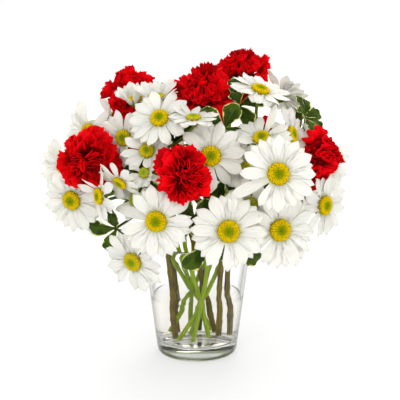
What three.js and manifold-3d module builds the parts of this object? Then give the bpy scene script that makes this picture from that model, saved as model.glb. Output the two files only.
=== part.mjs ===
// Red carnations and white daisies with variegated foliage, standing in water in a clear glass vase.
// Millimetres, +Z up. The origin is on the table, under the centre of the vase. The front is towards -Y.
//
// Heads, stems and foliage are placed by hand. Petals, stems and leaves then bend clear of whatever is
// already in place: each tries a short list of bends and keeps the first that leaves a gap.

import * as THREE from "three";
import { mergeVertices } from "three/addons/utils/BufferGeometryUtils.js";
import Module from "manifold-3d";

const wasm = await Module();
wasm.setup();

// ---------------------------------------------------------------- driving dimensions

const GAP = 0.3; // between pieces that touch
const CLEAR = 0.45; // kept by a petal, stem or leaf that bends out of the way
const TIDY = 0.1; // slivers smaller than this, left where pieces fuse, are smoothed away

const VASE = {
  height: 118,
  footRadius: 35, // flat ring that stands on the table
  baseRadius: 41, // widest point of the rounded foot
  baseHeight: 8,
  mouthRadius: 55,
  wall: 3,
  floor: 13, // thickness of the solid glass base
  lip: 1.2,
  sides: 24,
};
const WATER_LEVEL = 62;

const DAISY = {
  discShare: 0.14, // disc radius as a share of the head's width
  discSides: 7,
  blade: 0.85, // petal thickness
  shoulderAt: 0.64, // widest place, as a share of the free length
  widthShare: 0.19, // petal width as a share of the head's width
  tipShare: 0.52, // tip width as a share of the petal's width
  cup: 8, // degrees that a petal rises from the disc's plane
  curl: 14, // degrees that its tip turns back
  wander: 14, // degrees that one petal's rise may differ from the next
  fold: 0, // height of the edges at the widest place
};
const LEAF = {
  notchRadius: 2.2,
  blade: 0.8,
  shoulderAt: 0.62,
  widthShare: 0.3,
  tipShare: 0.5,
  cup: 24,
  curl: 26,
  wander: 24,
  fold: 1.2,
};
const CARNATION = {
  petals: 5, // in a layer
  layers: [-8, 18, 44, 70], // elevation of each layer, in degrees
  rootRadius: [7.5, 6.2, 4.8, 3.2],
  rise: 3, // from one layer's root to the next
  blade: 0.9,
  wave: 6, // degrees that the toothed edge waves up and down
  sink: 13, // from the middle of the head down to its base
  calyx: [[0.12, 4.4], [0.6, 5.6], [1, 5.2]], // share of the length, radius
  calyxLength: 24,
};
const STEM = {
  carnation: 2.2,
  spray: 2.7,
  branch: 2.2,
  peduncle: 1.4, // stalk of one daisy
  twig: 1.2,
  mainSides: 5,
  peduncleSides: 4,
  twigSides: 3,
};
const BLADE_LEAF = { length: 46, width: 5.4, blade: 0.8 }; // narrow leaf of a carnation stem

// Daisies of each spray: number, x, y, z of the disc, facing azimuth (0 front, 90 right) and elevation,
// width, petals.
const SPRAYS = {
  right: [
    [1, 29, -118, 156, 5, 8, 74, 12],
    [2, 77, -98, 152, 20, 5, 74, 12],
    [5, 73, -126, 211, 10, 14, 72, 12],
    [6, 13, -94, 221, -4, 14, 68, 11],
    [7, 121, -62, 167, 46, 4, 66, 11],
    [13, 48, -88, 208, -25, 10, 52, 9],
    [14, 50, -86, 174, -5, -10, 52, 9],
  ],
  left: [
    [3, -37, -112, 164, -8, 2, 70, 11],
    [4, -60, -84, 118, -32, -12, 66, 11],
    [15, -70, -100, 198, -40, -35, 50, 9],
    [16, -90, -88, 182, -58, 0, 56, 9],
    [17, -120, -48, 169, -24, -5, 66, 10],
    [21, -57, -84, 178, -25, 12, 44, 8],
    [35, -111, -25, 155, -50, -10, 58, 9],
  ],
  top_left: [
    [8, -34, -82, 254, -18, 38, 62, 10],
    [9, -3, -94, 256, 0, 80, 50, 10],
    [18, -46, -84, 224, -8, 30, 50, 9],
    [19, -48, -97, 206, -20, 20, 36, 8],
    [20, -69, -54, 231, -25, 5, 56, 9],
    [22, -38, -47, 268, -10, 80, 56, 9],
    [23, -59, -36, 264, -35, 75, 50, 8],
  ],
  top_right: [
    [10, 59, -62, 277, 45, 66, 62, 10],
    [11, 60, -86, 236, -10, 52, 58, 10],
    [12, 89, -60, 235, 62, 18, 58, 9],
    [28, 83, 18, 261, 150, 40, 62, 12],
    [29, 118, 4, 222, 66, 28, 56, 9],
    [30, 131, 10, 190, 42, 0, 64, 10],
    [34, 126, 46, 168, 115, -5, 62, 9],
  ],
  back: [
    [24, -84, 30, 233, -158, 24, 64, 9],
    [25, -108, 22, 222, -40, 12, 70, 10],
    [26, -130, 4, 189, -28, 0, 68, 9],
    [27, -122, 56, 184, -112, 6, 58, 9],
    [32, 38, 98, 158, 160, -5, 64, 9],
    [33, -28, 104, 171, -166, 0, 66, 10],
    [31, -2, 94, 238, 178, 32, 66, 9],
  ],
};
// Daisies whose petals touch and fuse, in one white body each.
const PETAL_BODIES = {
  right: [1, 2, 14, 5, 13, 6, 7],
  left: [3, 4, 21, 15, 16, 17, 35],
  top_left: [8, 9, 18, 19, 20, 22, 23],
  top_right: [10, 11, 12],
  far_right: [28, 29, 30, 34],
  far_left: [24, 25, 26, 27],
  back: [33, 32, 31],
};
const CUPPED = { 19: 46, 21: 40, 13: 22, 14: 22, 18: 24, 9: 12, 22: 40, 23: 55 }; // young heads, still half closed

// Carnations: x, y, z of the middle of the head, facing azimuth and elevation, width.
const CARNATIONS = [
  [-13, -118, 207, -3, 10, 58],
  [-104, -72, 212, -28, 12, 64],
  [5, -43, 272, 0, 46, 71],
  [47, 5, 288, 20, 52, 56],
  [-70, 12, 267, -40, 45, 58],
  [120, -50, 209, 52, 10, 60],
  [-62, 80, 222, -150, 22, 60],
  [70, 84, 202, 148, 14, 60],
];

// Woody stems of the daisy sprays, from the cut foot through the vase's mouth to the last fork.
const SPRAY_STEMS = {
  right: [[[20, -6, 20], [26, -20, 118], [40, -46, 158], [46, -62, 186]]],
  left: [[[-20, -8, 17], [-31, -17, 118], [-48, -40, 150], [-62, -50, 176]]],
  top_left: [[[16, 22, 16], [-4, -4, 118], [-20, -26, 180], [-32, -42, 222]]],
  top_right: [[[30, 4, 17], [34, 8, 118], [60, 0, 178], [76, -10, 214]]],
  back: [
    [[-18, 20, 16], [-30, 22, 118], [-66, 22, 170], [-86, 16, 208]],
    [[-18, 20, 16], [-30, 22, 118], [-16, 56, 160], [-8, 66, 196]],
  ],
};

// Carnation stems: the group that they cross and rest in, foot, mouth.
const CROSSINGS = { near: [4, -12, 54], far: [-5, 14, 60] };
const CARNATION_STEMS = [
  ["near", [11, -14, 20], [-12, -26, 118]],
  ["far", [12, 4, 22], [-36, -4, 118]],
  ["near", [-6, 0, 20], [12, -22, 118]],
  ["near", [-4, -27, 19], [18, 6, 118]],
  ["far", [12, 26, 18], [-22, 4, 118]],
  ["near", [-17, -16, 18], [34, -8, 118]],
  ["far", [-6, 29, 20], [-4, -2, 118]],
  ["far", [-25, 6, 20], [18, 26, 118]],
];
// Narrow leaves: carnation, place along its stem from the vase's mouth (0) to the calyx (1), azimuth.
const BLADE_LEAVES = [
  [1, 0.5, 150],
  [3, 0.7, 60],
  [3, 0.7, 250],
  [4, 0.72, 20],
  [4, 0.72, 200],
  [8, 0.5, 240],
];

// Foliage: one branch with side twigs, and the whorls of leaves that end them.
const BRANCH = [[2, 26, 16], [8, 20, 118], [10, 6, 170], [14, -10, 214]];
// x, y, z, facing azimuth and elevation, leaf length, leaves.
const WHORLS = [
  [103, -20, 245, 60, 40, 25, 6],
  [40, -42, 260, 20, 40, 30, 4],
  [26, -70, 243, 5, 40, 30, 4],
  [-78, -44, 140, -35, -15, 30, 4],
  [-2, -80, 160, -10, 0, 34, 4],
  [8, -60, 129, 5, -28, 37, 3],
  [102, -40, 170, 60, 0, 36, 4],
  [43, -50, 122, 30, -20, 30, 4],
  [26, -66, 192, 0, 10, 36, 4],
  [-22, -56, 228, -10, 30, 34, 4],
  [-60, -50, 196, -30, 10, 36, 4],
  [64, 84, 138, 140, -10, 36, 4],
  [-60, 82, 150, -150, -5, 36, 4],
  [34, 62, 256, 160, 50, 34, 4],
  [-40, 56, 250, -160, 50, 32, 4],
  [-96, 56, 196, -120, 20, 34, 4],
  [106, 62, 214, 120, 25, 34, 5],
  [4, 92, 196, 180, 5, 36, 4],
];

// ---------------------------------------------------------------- small tools

const { degToRad } = THREE.MathUtils;
const point = (x, y, z) => new THREE.Vector3(x, y, z);
const between = (a, b, t) => a.clone().lerp(b, t);

// A repeatable draw from 0 to 1 for two whole numbers.
function draw(a, b) {
  const s = Math.sin(a * 12.9898 + b * 78.233) * 43758.5453;
  return s - Math.floor(s);
}

// A place and a facing as a matrix: local +Z faces out, local +X is to the right of someone facing it.
function placed(centre, azimuth, elevation) {
  const a = degToRad(azimuth);
  const e = degToRad(elevation);
  const axis = point(Math.sin(a) * Math.cos(e), -Math.cos(a) * Math.cos(e), Math.sin(e));
  const right = point(Math.cos(a), Math.sin(a), 0);
  const up = axis.clone().cross(right);
  return new THREE.Matrix4().makeBasis(right, up, axis).setPosition(centre);
}

// Vertices and outward triangles of one closed body.
class Shell {
  points = [];
  faces = [];

  add(p) {
    this.points.push(p);
    return this.points.length - 1;
  }

  // A face on top and the same face, turned over, below it.
  both(top, under, corners) {
    for (let i = 1; i < corners.length - 1; i++) {
      const [a, b, c] = [corners[0], corners[i], corners[i + 1]];
      this.faces.push([top[a], top[b], top[c]], [under[a], under[c], under[b]]);
    }
  }

  // The rim from one outline point to the next, with the body on its left seen from above.
  rim(top, under, a, b) {
    this.faces.push([top[a], under[a], under[b]], [top[a], under[b], top[b]]);
  }

  solid(matrix = new THREE.Matrix4()) {
    const geometry = new THREE.BufferGeometry();
    geometry.setFromPoints(this.points);
    geometry.setIndex(this.faces.flat());
    return solidOf(geometry.applyMatrix4(matrix));
  }
}

function solidOf(geometry) {
  const bare = geometry.clone();
  bare.deleteAttribute("normal");
  bare.deleteAttribute("uv");
  const merged = mergeVertices(bare, 1e-4);
  return new wasm.Manifold(
    new wasm.Mesh({
      numProp: 3,
      vertProperties: new Float32Array(merged.attributes.position.array),
      triVerts: new Uint32Array(merged.index.array),
    }),
  );
}

function geometryOf(solid) {
  const mesh = solid.getMesh();
  const geometry = new THREE.BufferGeometry();
  geometry.setAttribute("position", new THREE.BufferAttribute(mesh.vertProperties.slice(), 3));
  geometry.setIndex(new THREE.BufferAttribute(mesh.triVerts.slice(), 1));
  const flat = geometry.toNonIndexed();
  flat.computeVertexNormals();
  return flat;
}

// Solids joined in one, without the slivers that joining leaves.
function fuse(solids) {
  return wasm.Manifold.union(solids).asOriginal().simplify(TIDY);
}

// A closed tube with flat ends through the points, with a radius at each.
function tube(points, radii, sides) {
  const shell = new Shell();
  const tangents = points.map((p, i) =>
    points[Math.min(i + 1, points.length - 1)].clone().sub(points[Math.max(i - 1, 0)]).normalize(),
  );
  let across = point(1, 0, 0).cross(tangents[0]).normalize();
  const rings = points.map((p, i) => {
    across = across.clone().addScaledVector(tangents[i], -across.dot(tangents[i])).normalize();
    const other = tangents[i].clone().cross(across);
    return Array.from({ length: sides }, (_, k) => {
      const turn = (2 * Math.PI * k) / sides;
      return shell.add(
        p.clone()
          .addScaledVector(across, radii[i] * Math.cos(turn))
          .addScaledVector(other, radii[i] * Math.sin(turn)),
      );
    });
  });
  for (let i = 0; i + 1 < rings.length; i++) {
    for (let k = 0; k < sides; k++) {
      const n = (k + 1) % sides;
      shell.faces.push([rings[i][k], rings[i][n], rings[i + 1][n]]);
      shell.faces.push([rings[i][k], rings[i + 1][n], rings[i + 1][k]]);
    }
  }
  const last = rings.at(-1);
  for (let k = 1; k + 1 < sides; k++) {
    shell.faces.push([rings[0][0], rings[0][k + 1], rings[0][k]]);
    shell.faces.push([last[0], last[k], last[k + 1]]);
  }
  return shell.solid();
}

// ---------------------------------------------------------------- keeping clear

const standing = []; // { solid, box, owner } of all that is in place

function boxOf(solid) {
  const { min, max } = solid.boundingBox();
  return new THREE.Box3(point(...min), point(...max));
}

function stand(solid, owner) {
  standing.push({ solid, box: boxOf(solid), owner });
  return solid;
}

function isClear(solid, owners = []) {
  const reach = boxOf(solid).expandByScalar(CLEAR);
  return !standing.some(
    (other) =>
      !owners.includes(other.owner) &&
      reach.intersectsBox(other.box) &&
      solid.minGap(other.solid, CLEAR + 0.1) < CLEAR,
  );
}

// The first of the tries whose solid is clear, or null.
function firstClear(tries, make, owners, accept = () => true) {
  for (const t of tries) {
    const made = make(t);
    if (isClear(made.solid, owners) && accept(made.solid)) return made;
  }
  return null;
}

// ---------------------------------------------------------------- vase and water

function vaseOuter(z) {
  const share = (z - VASE.baseHeight) / (VASE.height - VASE.baseHeight);
  return VASE.baseRadius + (VASE.mouthRadius - VASE.baseRadius) * share;
}
const vaseInner = (z) => vaseOuter(z) - VASE.wall;

function lathe(profile) {
  const points = profile.map(([r, z]) => new THREE.Vector2(r, z));
  return new THREE.LatheGeometry(points, VASE.sides).rotateX(Math.PI / 2);
}

function vase() {
  const { height, footRadius, baseRadius, baseHeight, floor, lip } = VASE;
  return lathe([
    [0, 0],
    [footRadius, 0],
    [baseRadius - 1.8, 2.4],
    [baseRadius, baseHeight],
    [vaseOuter(height - lip), height - lip],
    [vaseOuter(height) - VASE.wall / 2, height],
    [vaseInner(height - lip), height - lip],
    [vaseInner(floor + 4), floor + 4],
    [vaseInner(floor) - 4, floor],
    [0, floor],
  ]);
}

function water(holes) {
  const low = VASE.floor + GAP;
  const block = solidOf(
    lathe([
      [0, low],
      [vaseInner(low) - 4 - GAP, low],
      [vaseInner(low + 4) - GAP, low + 4],
      [vaseInner(WATER_LEVEL) - GAP, WATER_LEVEL],
      [0, WATER_LEVEL],
    ]),
  );
  return holes.reduce((rest, hole) => rest.subtract(hole), block).asOriginal().simplify(TIDY);
}

// ---------------------------------------------------------------- daisies

// A flat star of blades around a hub: the petals of a daisy, or a whorl of leaves.
class Star {
  constructor(number, centre, azimuth, elevation, width, count, shape) {
    Object.assign(this, { number, width, count, shape });
    this.centre = centre;
    this.matrix = placed(centre, azimuth, elevation);
    this.axis = point(0, 0, 1).transformDirection(this.matrix);
    this.notchRadius = shape.notchRadius;
    this.spin = draw(number, 1) * 360;
    this.owner = "star_" + number;
    this.back = centre.clone().addScaledVector(this.axis, -shape.blade);
    this.blades = [];
  }

  local(x, y, z) {
    return point(x, y, z).applyMatrix4(this.matrix);
  }

  polar(angle, side, radius, height) {
    const a = degToRad(angle);
    return this.local(
      radius * Math.cos(a) - side * Math.sin(a),
      radius * Math.sin(a) + side * Math.cos(a),
      height,
    );
  }

  notch(k) {
    return this.polar(this.spin + (360 * (k - 0.5)) / this.count, 0, this.notchRadius, 0);
  }

  // Top and under points of a blade's free end, for a bend in degrees and a share of the full length.
  bladeEnd(k, bend, share) {
    const { cup, curl, blade, shoulderAt, widthShare, tipShare, wander, fold } = this.shape;
    const angle = this.spin + (360 * k) / this.count + (draw(this.number, 40 + k) - 0.5) * 2.6;
    const full = this.width / 2 - this.notchRadius;
    const length = full * share * (0.9 + 0.13 * draw(this.number, 10 + k));
    const rising = cup + bend + (draw(this.number, 70 + k) - 0.5) * wander;
    const steep = THREE.MathUtils.clamp(rising, -72, 74);
    const rise = [steep, steep - curl - bend * 0.3].map(degToRad);
    const inner = length * shoulderAt;
    const outer = length - inner;
    const shoulder = [this.notchRadius + inner * Math.cos(rise[0]), inner * Math.sin(rise[0])];
    const tip = [shoulder[0] + outer * Math.cos(rise[1]), shoulder[1] + outer * Math.sin(rise[1])];
    const at = [shoulder, tip];
    const lean = [(rise[0] + rise[1]) / 2, rise[1]];
    const sector = (2 * Math.PI * shoulder[0]) / this.count;
    const half = Math.min(this.width * widthShare, sector * 0.9) / 2;
    const corners = [
      [0, -half, fold],
      [1, -half * tipShare, 0],
      [1, half * tipShare, 0],
      [0, half, fold],
    ];
    return corners.map(([row, side, lift]) => {
      const [radius, height] = at[row];
      const top = this.polar(angle, side, radius, height + lift);
      const under = this.polar(
        angle,
        side,
        radius + blade * Math.sin(lean[row]),
        height + lift - blade * Math.cos(lean[row]),
      );
      return { top, under };
    });
  }

  // One blade closed on its own, to test and to fuse.
  bladeSolid(k, end) {
    const shell = new Shell();
    const drop = this.axis.clone().multiplyScalar(-this.shape.blade);
    const roots = [this.notch(k), this.notch(k + 1)].map((p) => ({ top: p, under: p.clone().add(drop) }));
    const outline = [roots[0], ...end, roots[1]];
    const top = outline.map((o) => shell.add(o.top));
    const under = outline.map((o) => shell.add(o.under));
    shell.both(top, under, [0, 1, 4, 5]);
    shell.both(top, under, [1, 2, 3, 4]);
    outline.forEach((_, i) => shell.rim(top, under, i, (i + 1) % outline.length));
    return shell.solid();
  }

  // A blade may meet its neighbours in the same star only at the root.
  isFree(solid, k) {
    return !this.blades.some(
      (other, n) => other && n !== k && solid.intersect(other.solid).volume() > 1e-3,
    );
  }

  grow(owners = []) {
    const bends = [0, -10, 10, -20, 20, -32, 32, -45, 45, -60, 60];
    const shares = [1, 0.85, 0.7, 0.55, 0.4];
    const tries = shares.flatMap((share) => bends.map((bend) => [bend, share]));
    for (let k = 0; k < this.count; k++) {
      const make = ([bend, share]) => {
        const end = this.bladeEnd(k, bend, share);
        return { end, bend, share, solid: this.bladeSolid(k, end) };
      };
      const accept = (solid) => this.isFree(solid, k);
      const found = firstClear(tries, make, [this.owner, ...owners], accept);
      this.blades.push(found);
      if (found) stand(found.solid, this.owner);
    }
  }

  // All blades and the hub that they meet in, as one plate.
  plate() {
    const shell = new Shell();
    const hub = this.local(0, 0, 0);
    const drop = this.axis.clone().multiplyScalar(-this.shape.blade);
    const top = [shell.add(hub)];
    const under = [shell.add(hub.clone().add(drop))];
    const put = (upper, lower) => {
      top.push(shell.add(upper));
      under.push(shell.add(lower));
      return top.length - 1;
    };
    const notches = this.blades.map((_, k) => put(this.notch(k), this.notch(k).add(drop)));
    this.blades.forEach((blade, k) => {
      const near = notches[k];
      const far = notches[(k + 1) % this.count];
      shell.both(top, under, [0, near, far]);
      if (!blade) {
        shell.rim(top, under, near, far);
        return;
      }
      const [a, b, c, d] = blade.end.map((corner) => put(corner.top, corner.under));
      shell.both(top, under, [near, a, d, far]);
      shell.both(top, under, [a, b, c, d]);
      for (const [from, to] of [[near, a], [a, b], [b, c], [c, d], [d, far]]) {
        shell.rim(top, under, from, to);
      }
    });
    return shell.solid();
  }
}

class Daisy extends Star {
  constructor([number, x, y, z, azimuth, elevation, width, petals], spray) {
    const discRadius = width * DAISY.discShare;
    const shape = {
      ...DAISY,
      notchRadius: discRadius + 0.6,
      cup: CUPPED[number] ?? DAISY.cup,
    };
    super(number, point(x, y, z), azimuth, elevation, width, petals, shape);
    Object.assign(this, { spray, discRadius });
    this.back.addScaledVector(this.axis, -GAP);
  }

  disc() {
    const shell = new Shell();
    const count = DAISY.discSides;
    const r = this.discRadius;
    const ring = (share, height, bump) =>
      Array.from({ length: count }, (_, k) => {
        const raised = k % 2 ? bump : -bump;
        return shell.add(this.polar((360 * k) / count, 0, r * share + raised, height + raised));
      });
    const rings = [ring(1, GAP, 0), ring(0.92, r * 0.28, 0.3), ring(0.5, r * 0.42, -0.3)];
    const base = shell.add(this.local(0, 0, GAP));
    const top = shell.add(this.local(0, 0, r * 0.36));
    for (let k = 0; k < count; k++) {
      const n = (k + 1) % count;
      shell.faces.push([base, rings[0][n], rings[0][k]], [rings[2][k], rings[2][n], top]);
      for (const i of [0, 1]) {
        shell.faces.push([rings[i][k], rings[i][n], rings[i + 1][n]]);
        shell.faces.push([rings[i][k], rings[i + 1][n], rings[i + 1][k]]);
      }
    }
    return shell.solid();
  }

  // Keeps the space that the middle of the head takes: disc, hub and top of the calyx.
  core() {
    const low = this.local(0, 0, -DAISY.blade - 1.5);
    const high = this.local(0, 0, this.discRadius * 0.45);
    const r = this.discRadius + 0.2;
    return tube([low, high], [r, r], 8);
  }

  // Ways in which one of these petals could be laid onto a petal of the other daisy, shortest first.
  reaches(other) {
    const options = [];
    this.blades.forEach((blade, k) => {
      if (!blade || blade.fixed) return;
      const root = between(this.notch(k), this.notch(k + 1), 0.5);
      const outward = root.clone().sub(this.centre).normalize();
      for (const target of other.blades.filter(Boolean)) {
        const goal = point(0, 0, 0);
        target.end.forEach((corner) => goal.add(corner.top).add(corner.under));
        const way = goal.multiplyScalar(1 / 8).sub(root);
        const flat = way.clone().addScaledVector(this.axis, -way.dot(this.axis));
        if (flat.angleTo(outward) > Math.PI / this.count || way.length() > this.width * 0.62) continue;
        options.push({ k, root, way, target });
      }
    });
    return options.sort((a, b) => a.way.length() - b.way.length());
  }

  // Lays a petal onto one of the other daisy's, so that the two heads fuse. True when it could.
  join(other) {
    for (const { k, root, way, target } of this.reaches(other)) {
      const ahead = way.clone().normalize();
      const side = this.axis.clone().cross(ahead).normalize();
      const normal = ahead.clone().cross(side).normalize();
      const corner = (share, half, past) => {
        const top = root.clone().addScaledVector(way, share).addScaledVector(ahead, past);
        top.addScaledVector(side, half).addScaledVector(normal, DAISY.blade / 2);
        return { top, under: top.clone().addScaledVector(normal, -DAISY.blade) };
      };
      const half = this.width * DAISY.widthShare * 0.42;
      const end = [
        corner(0.58, -half, 0),
        corner(1, -1.8, 1.2),
        corner(1, 1.8, 1.2),
        corner(0.58, half, 0),
      ];
      const solid = this.bladeSolid(k, end);
      const meets = solid.intersect(target.solid).volume() > 0.5;
      const free = isClear(solid, [this.owner, other.owner]) && this.isFree(solid, k);
      const offDiscs = solid.minGap(this.disc(), 1) > GAP / 2 && solid.minGap(other.core(), 1) > GAP;
      if (!meets || !free || !offDiscs) continue;
      standing.splice(standing.findIndex((s) => s.solid === this.blades[k].solid), 1);
      this.blades[k] = { end, solid: stand(solid, this.owner), fixed: true };
      target.fixed = true;
      return true;
    }
    return false;
  }
}

// Fuses the petals of daisies that touch, reaching from each to the nearest already joined.
function petalBody(group) {
  const joined = [group[0]];
  let waiting = group.slice(1);
  let added = true;
  while (added) {
    added = waiting.find((daisy) => {
      const near = [...joined].sort(
        (a, b) => a.centre.distanceTo(daisy.centre) - b.centre.distanceTo(daisy.centre),
      );
      return near.some((other) => daisy.join(other) || other.join(daisy));
    });
    if (added) joined.push(added);
    waiting = waiting.filter((daisy) => daisy !== added);
  }
  return fuse(joined.map((daisy) => daisy.plate()));
}

// ---------------------------------------------------------------- carnations

// The base of a carnation's petals: local +Z faces out of the head.
function carnationFrame([x, y, z, azimuth, elevation]) {
  return placed(point(x, y, z), azimuth, elevation);
}

// Toothed petals in layers on one folded body.
function carnationHead(row, number) {
  const matrix = carnationFrame(row);
  const width = row[5];
  const { petals, layers, rootRadius, rise, blade, wave, sink } = CARNATION;
  const step = 360 / petals;
  const shell = new Shell();
  const at = (angle, radius, height) => {
    const a = degToRad(angle);
    const p = point(radius * Math.cos(a), radius * Math.sin(a), height - sink);
    return shell.add(p.applyMatrix4(matrix));
  };
  const bands = layers.map((lift, layer) => {
    const spin = draw(number, 5) * 360 + layer * step * 0.5;
    const tilt = degToRad(lift);
    const base = layer * rise;
    const root = rootRadius[layer];
    const reach = width / 2 - rootRadius[0] - layer * 0.8;
    const turns = layer === layers.length - 1 ? [-22, 0, 22] : [-28, -15, 0, 15, 28];
    const top = [];
    const under = [];
    for (let k = 0; k < petals; k++) {
      const angle = spin + (k - 0.5) * step;
      top.push(at(angle, root, base + blade * Math.cos(tilt) + 0.2));
      under.push(at(angle, root + blade * Math.sin(tilt), base));
    }
    for (let k = 0; k < petals; k++) {
      const edge = turns.map((turn, i) => {
        const seed = layer * 50 + k * 5 + i;
        const length = reach * (i % 2 ? 0.84 : 1) * (0.94 + 0.1 * draw(number, seed));
        const swing = ((i + k) % 2 ? -wave : wave) * (0.6 + 0.4 * draw(number, seed + 7));
        const bend = tilt + degToRad(swing);
        const radius = root + length * Math.cos(bend);
        const height = base + blade + length * Math.sin(bend);
        const angle = spin + k * step + turn;
        top.push(at(angle, radius, height));
        under.push(at(angle, radius + blade * Math.sin(bend), height - blade * Math.cos(bend)));
        return top.length - 1;
      });
      const far = (k + 1) % petals;
      const middle = (edge.length + 1) / 2;
      shell.both(top, under, [k, ...edge.slice(0, middle), far]);
      shell.both(top, under, [far, ...edge.slice(middle - 1)]);
      const outline = [k, ...edge, far];
      outline.slice(1).forEach((to, i) => shell.rim(top, under, outline[i], to));
    }
    return { top, under };
  });
  const low = at(0, 0, 0);
  const high = at(0, 0, layers.length * rise + 12);
  for (let k = 0; k < petals; k++) {
    const n = (k + 1) % petals;
    shell.faces.push([low, bands[0].under[n], bands[0].under[k]]);
    shell.faces.push([high, bands.at(-1).top[k], bands.at(-1).top[n]]);
    for (let layer = 0; layer + 1 < layers.length; layer++) {
      const outer = bands[layer].top;
      const inner = bands[layer + 1].under;
      shell.faces.push([outer[k], outer[n], inner[k]], [inner[k], outer[n], inner[n]]);
    }
  }
  return shell.solid();
}

// ---------------------------------------------------------------- stems and leaves

// Points along a smooth line through the given ones.
function through(points, count) {
  return new THREE.CatmullRomCurve3(points, false, "centripetal").getPoints(count);
}

// Sideways moves to try, nearest first.
function moves(reach, step) {
  const list = [point(0, 0, 0)];
  for (let r = step; r <= reach; r += step) {
    for (let turn = 0; turn < 8; turn++) {
      const a = (turn * Math.PI) / 4;
      list.push(point(r * Math.cos(a), r * Math.sin(a), 0));
    }
  }
  return list;
}

function evenTube(line, radius, sides) {
  return tube(line, line.map(() => radius), sides);
}

const holes = []; // the stems' shape in the vase, a little larger, that the water leaves free

function wet(line, radius) {
  const below = between(line[0], line[1], -0.4 / line[0].distanceTo(line[1]));
  holes.push(evenTube([below, ...line.slice(1)], radius + 0.45, STEM.mainSides));
}

// A woody stem, straight in the vase and moved sideways above it until it is clear.
function woodyStem(rows, radius, owner) {
  const [foot, mouth, ...rest] = rows.map((row) => point(...row));
  const make = ([move, lift]) => {
    const upper = rest.map((p) => p.clone().add(move).add(point(0, 0, lift)));
    const line = [foot, ...through([mouth.clone().addScaledVector(move, 0.35), ...upper], 3)];
    return { line, solid: evenTube(line, radius, STEM.mainSides) };
  };
  const tries = moves(28, 4).flatMap((move) => [0, 10, -8].map((lift) => [move, lift]));
  const { line, solid } = firstClear(tries, make, [owner]);
  wet(line.slice(0, 2), radius);
  return { line, solid: stand(solid, owner) };
}

// A carnation's stem and calyx, from its foot through the crossing and the vase's mouth to its head.
function carnationStem(row, number) {
  const [group, foot, mouth] = CARNATION_STEMS[number - 1];
  const matrix = carnationFrame(row);
  const axis = point(0, 0, 1).transformDirection(matrix);
  const back = point(0, 0, -CARNATION.sink - GAP).applyMatrix4(matrix);
  const neck = back.clone().addScaledVector(axis, -CARNATION.calyxLength);
  const wobble = [3, 4, 6].map((seed) => draw(number, seed) * 2 - 1);
  const crossing = point(...CROSSINGS[group]).add(point(wobble[0], wobble[1], wobble[2] * 2));
  const make = ([move, lead]) => {
    const bend = neck.clone().addScaledVector(axis, -lead).add(move);
    const gate = point(...mouth).addScaledVector(move, 0.3);
    const line = [point(...foot), crossing, ...through([gate, bend, neck], 4)];
    const calyx = CARNATION.calyx.map(([share]) => between(neck, back, share));
    const radii = [...line.map(() => STEM.carnation), ...CARNATION.calyx.map(([, radius]) => radius)];
    return { line, solid: tube([...line, ...calyx], radii, STEM.mainSides) };
  };
  const tries = moves(36, 4).flatMap((move) => [20, 34, 8].map((lead) => [move, lead]));
  const { line, solid } = firstClear(tries, make, [group, "head_" + number]);
  wet(line.slice(0, 3), STEM.carnation);
  return { group, line: line.slice(2), solid: stand(solid, group) };
}

// Places along a stem's line above the vase, nearest to a wanted one first.
function forks(lines, target, low) {
  const list = [];
  for (const line of lines) {
    for (let i = 0; i + 1 < line.length; i++) {
      for (const share of [0.15, 0.4, 0.65, 0.9]) {
        const p = between(line[i], line[i + 1], share);
        if (p.z > low && p.z < Math.max(target.z + 6, low + 14)) list.push(p);
      }
    }
  }
  return list.sort((a, b) => a.distanceTo(target) - b.distanceTo(target)).slice(0, 8);
}

// A thin stalk that leaves one of the lines and ends behind `back`, widening there as `flare` says.
function stalk(lines, back, axis, radius, sides, flare, owners) {
  const neck = back.clone().addScaledVector(axis, -7);
  const make = ([bow, start, lead]) => {
    const span = start.distanceTo(neck);
    const leave = between(start.clone().add(point(0, 0, span * 0.3)), neck, 0.2).add(bow);
    const arrive = neck.clone().addScaledVector(axis, -span * lead).addScaledVector(bow, 0.8);
    const curve = new THREE.CubicBezierCurve3(start, leave, arrive, neck);
    const line = curve.getPoints(span > 60 ? 3 : 2);
    const radii = [...line.map(() => radius), ...flare.map(([, wide]) => wide)];
    line.push(...flare.map(([share]) => between(neck, back, share)));
    return { solid: tube(line, radii, sides) };
  };
  const places = forks(lines, back.clone().addScaledVector(axis, -26), 123);
  const tries = moves(35, 5).flatMap((bow) =>
    places.flatMap((start) => [0.4, 0.25, 0.55].map((lead) => [bow, start, lead])),
  );
  return firstClear(tries, make, owners);
}

// A narrow leaf that leaves a stem at `root` in the direction `along` and curves up at its end.
function bladeLeaf(root, along) {
  const { length, width, blade } = BLADE_LEAF;
  const side = point(0, 0, 1).cross(along).normalize();
  const normal = along.clone().cross(side).normalize();
  const outline = [
    [-0.01, -0.24, 0],
    [0.5, -0.5, 0],
    [1, 0, 0.14],
    [0.5, 0.5, 0],
    [-0.01, 0.24, 0],
  ].map(([share, out, lift]) =>
    root.clone()
      .addScaledVector(along, length * share)
      .addScaledVector(side, width * out)
      .addScaledVector(normal, length * lift),
  );
  const shell = new Shell();
  const top = outline.map((p) => shell.add(p.clone().addScaledVector(normal, blade / 2)));
  const under = outline.map((p) => shell.add(p.clone().addScaledVector(normal, -blade / 2)));
  shell.both(top, under, [0, 1, 3, 4]);
  shell.both(top, under, [1, 2, 3]);
  outline.forEach((_, i) => shell.rim(top, under, i, (i + 1) % outline.length));
  return shell.solid();
}

// ---------------------------------------------------------------- assembly

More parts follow.
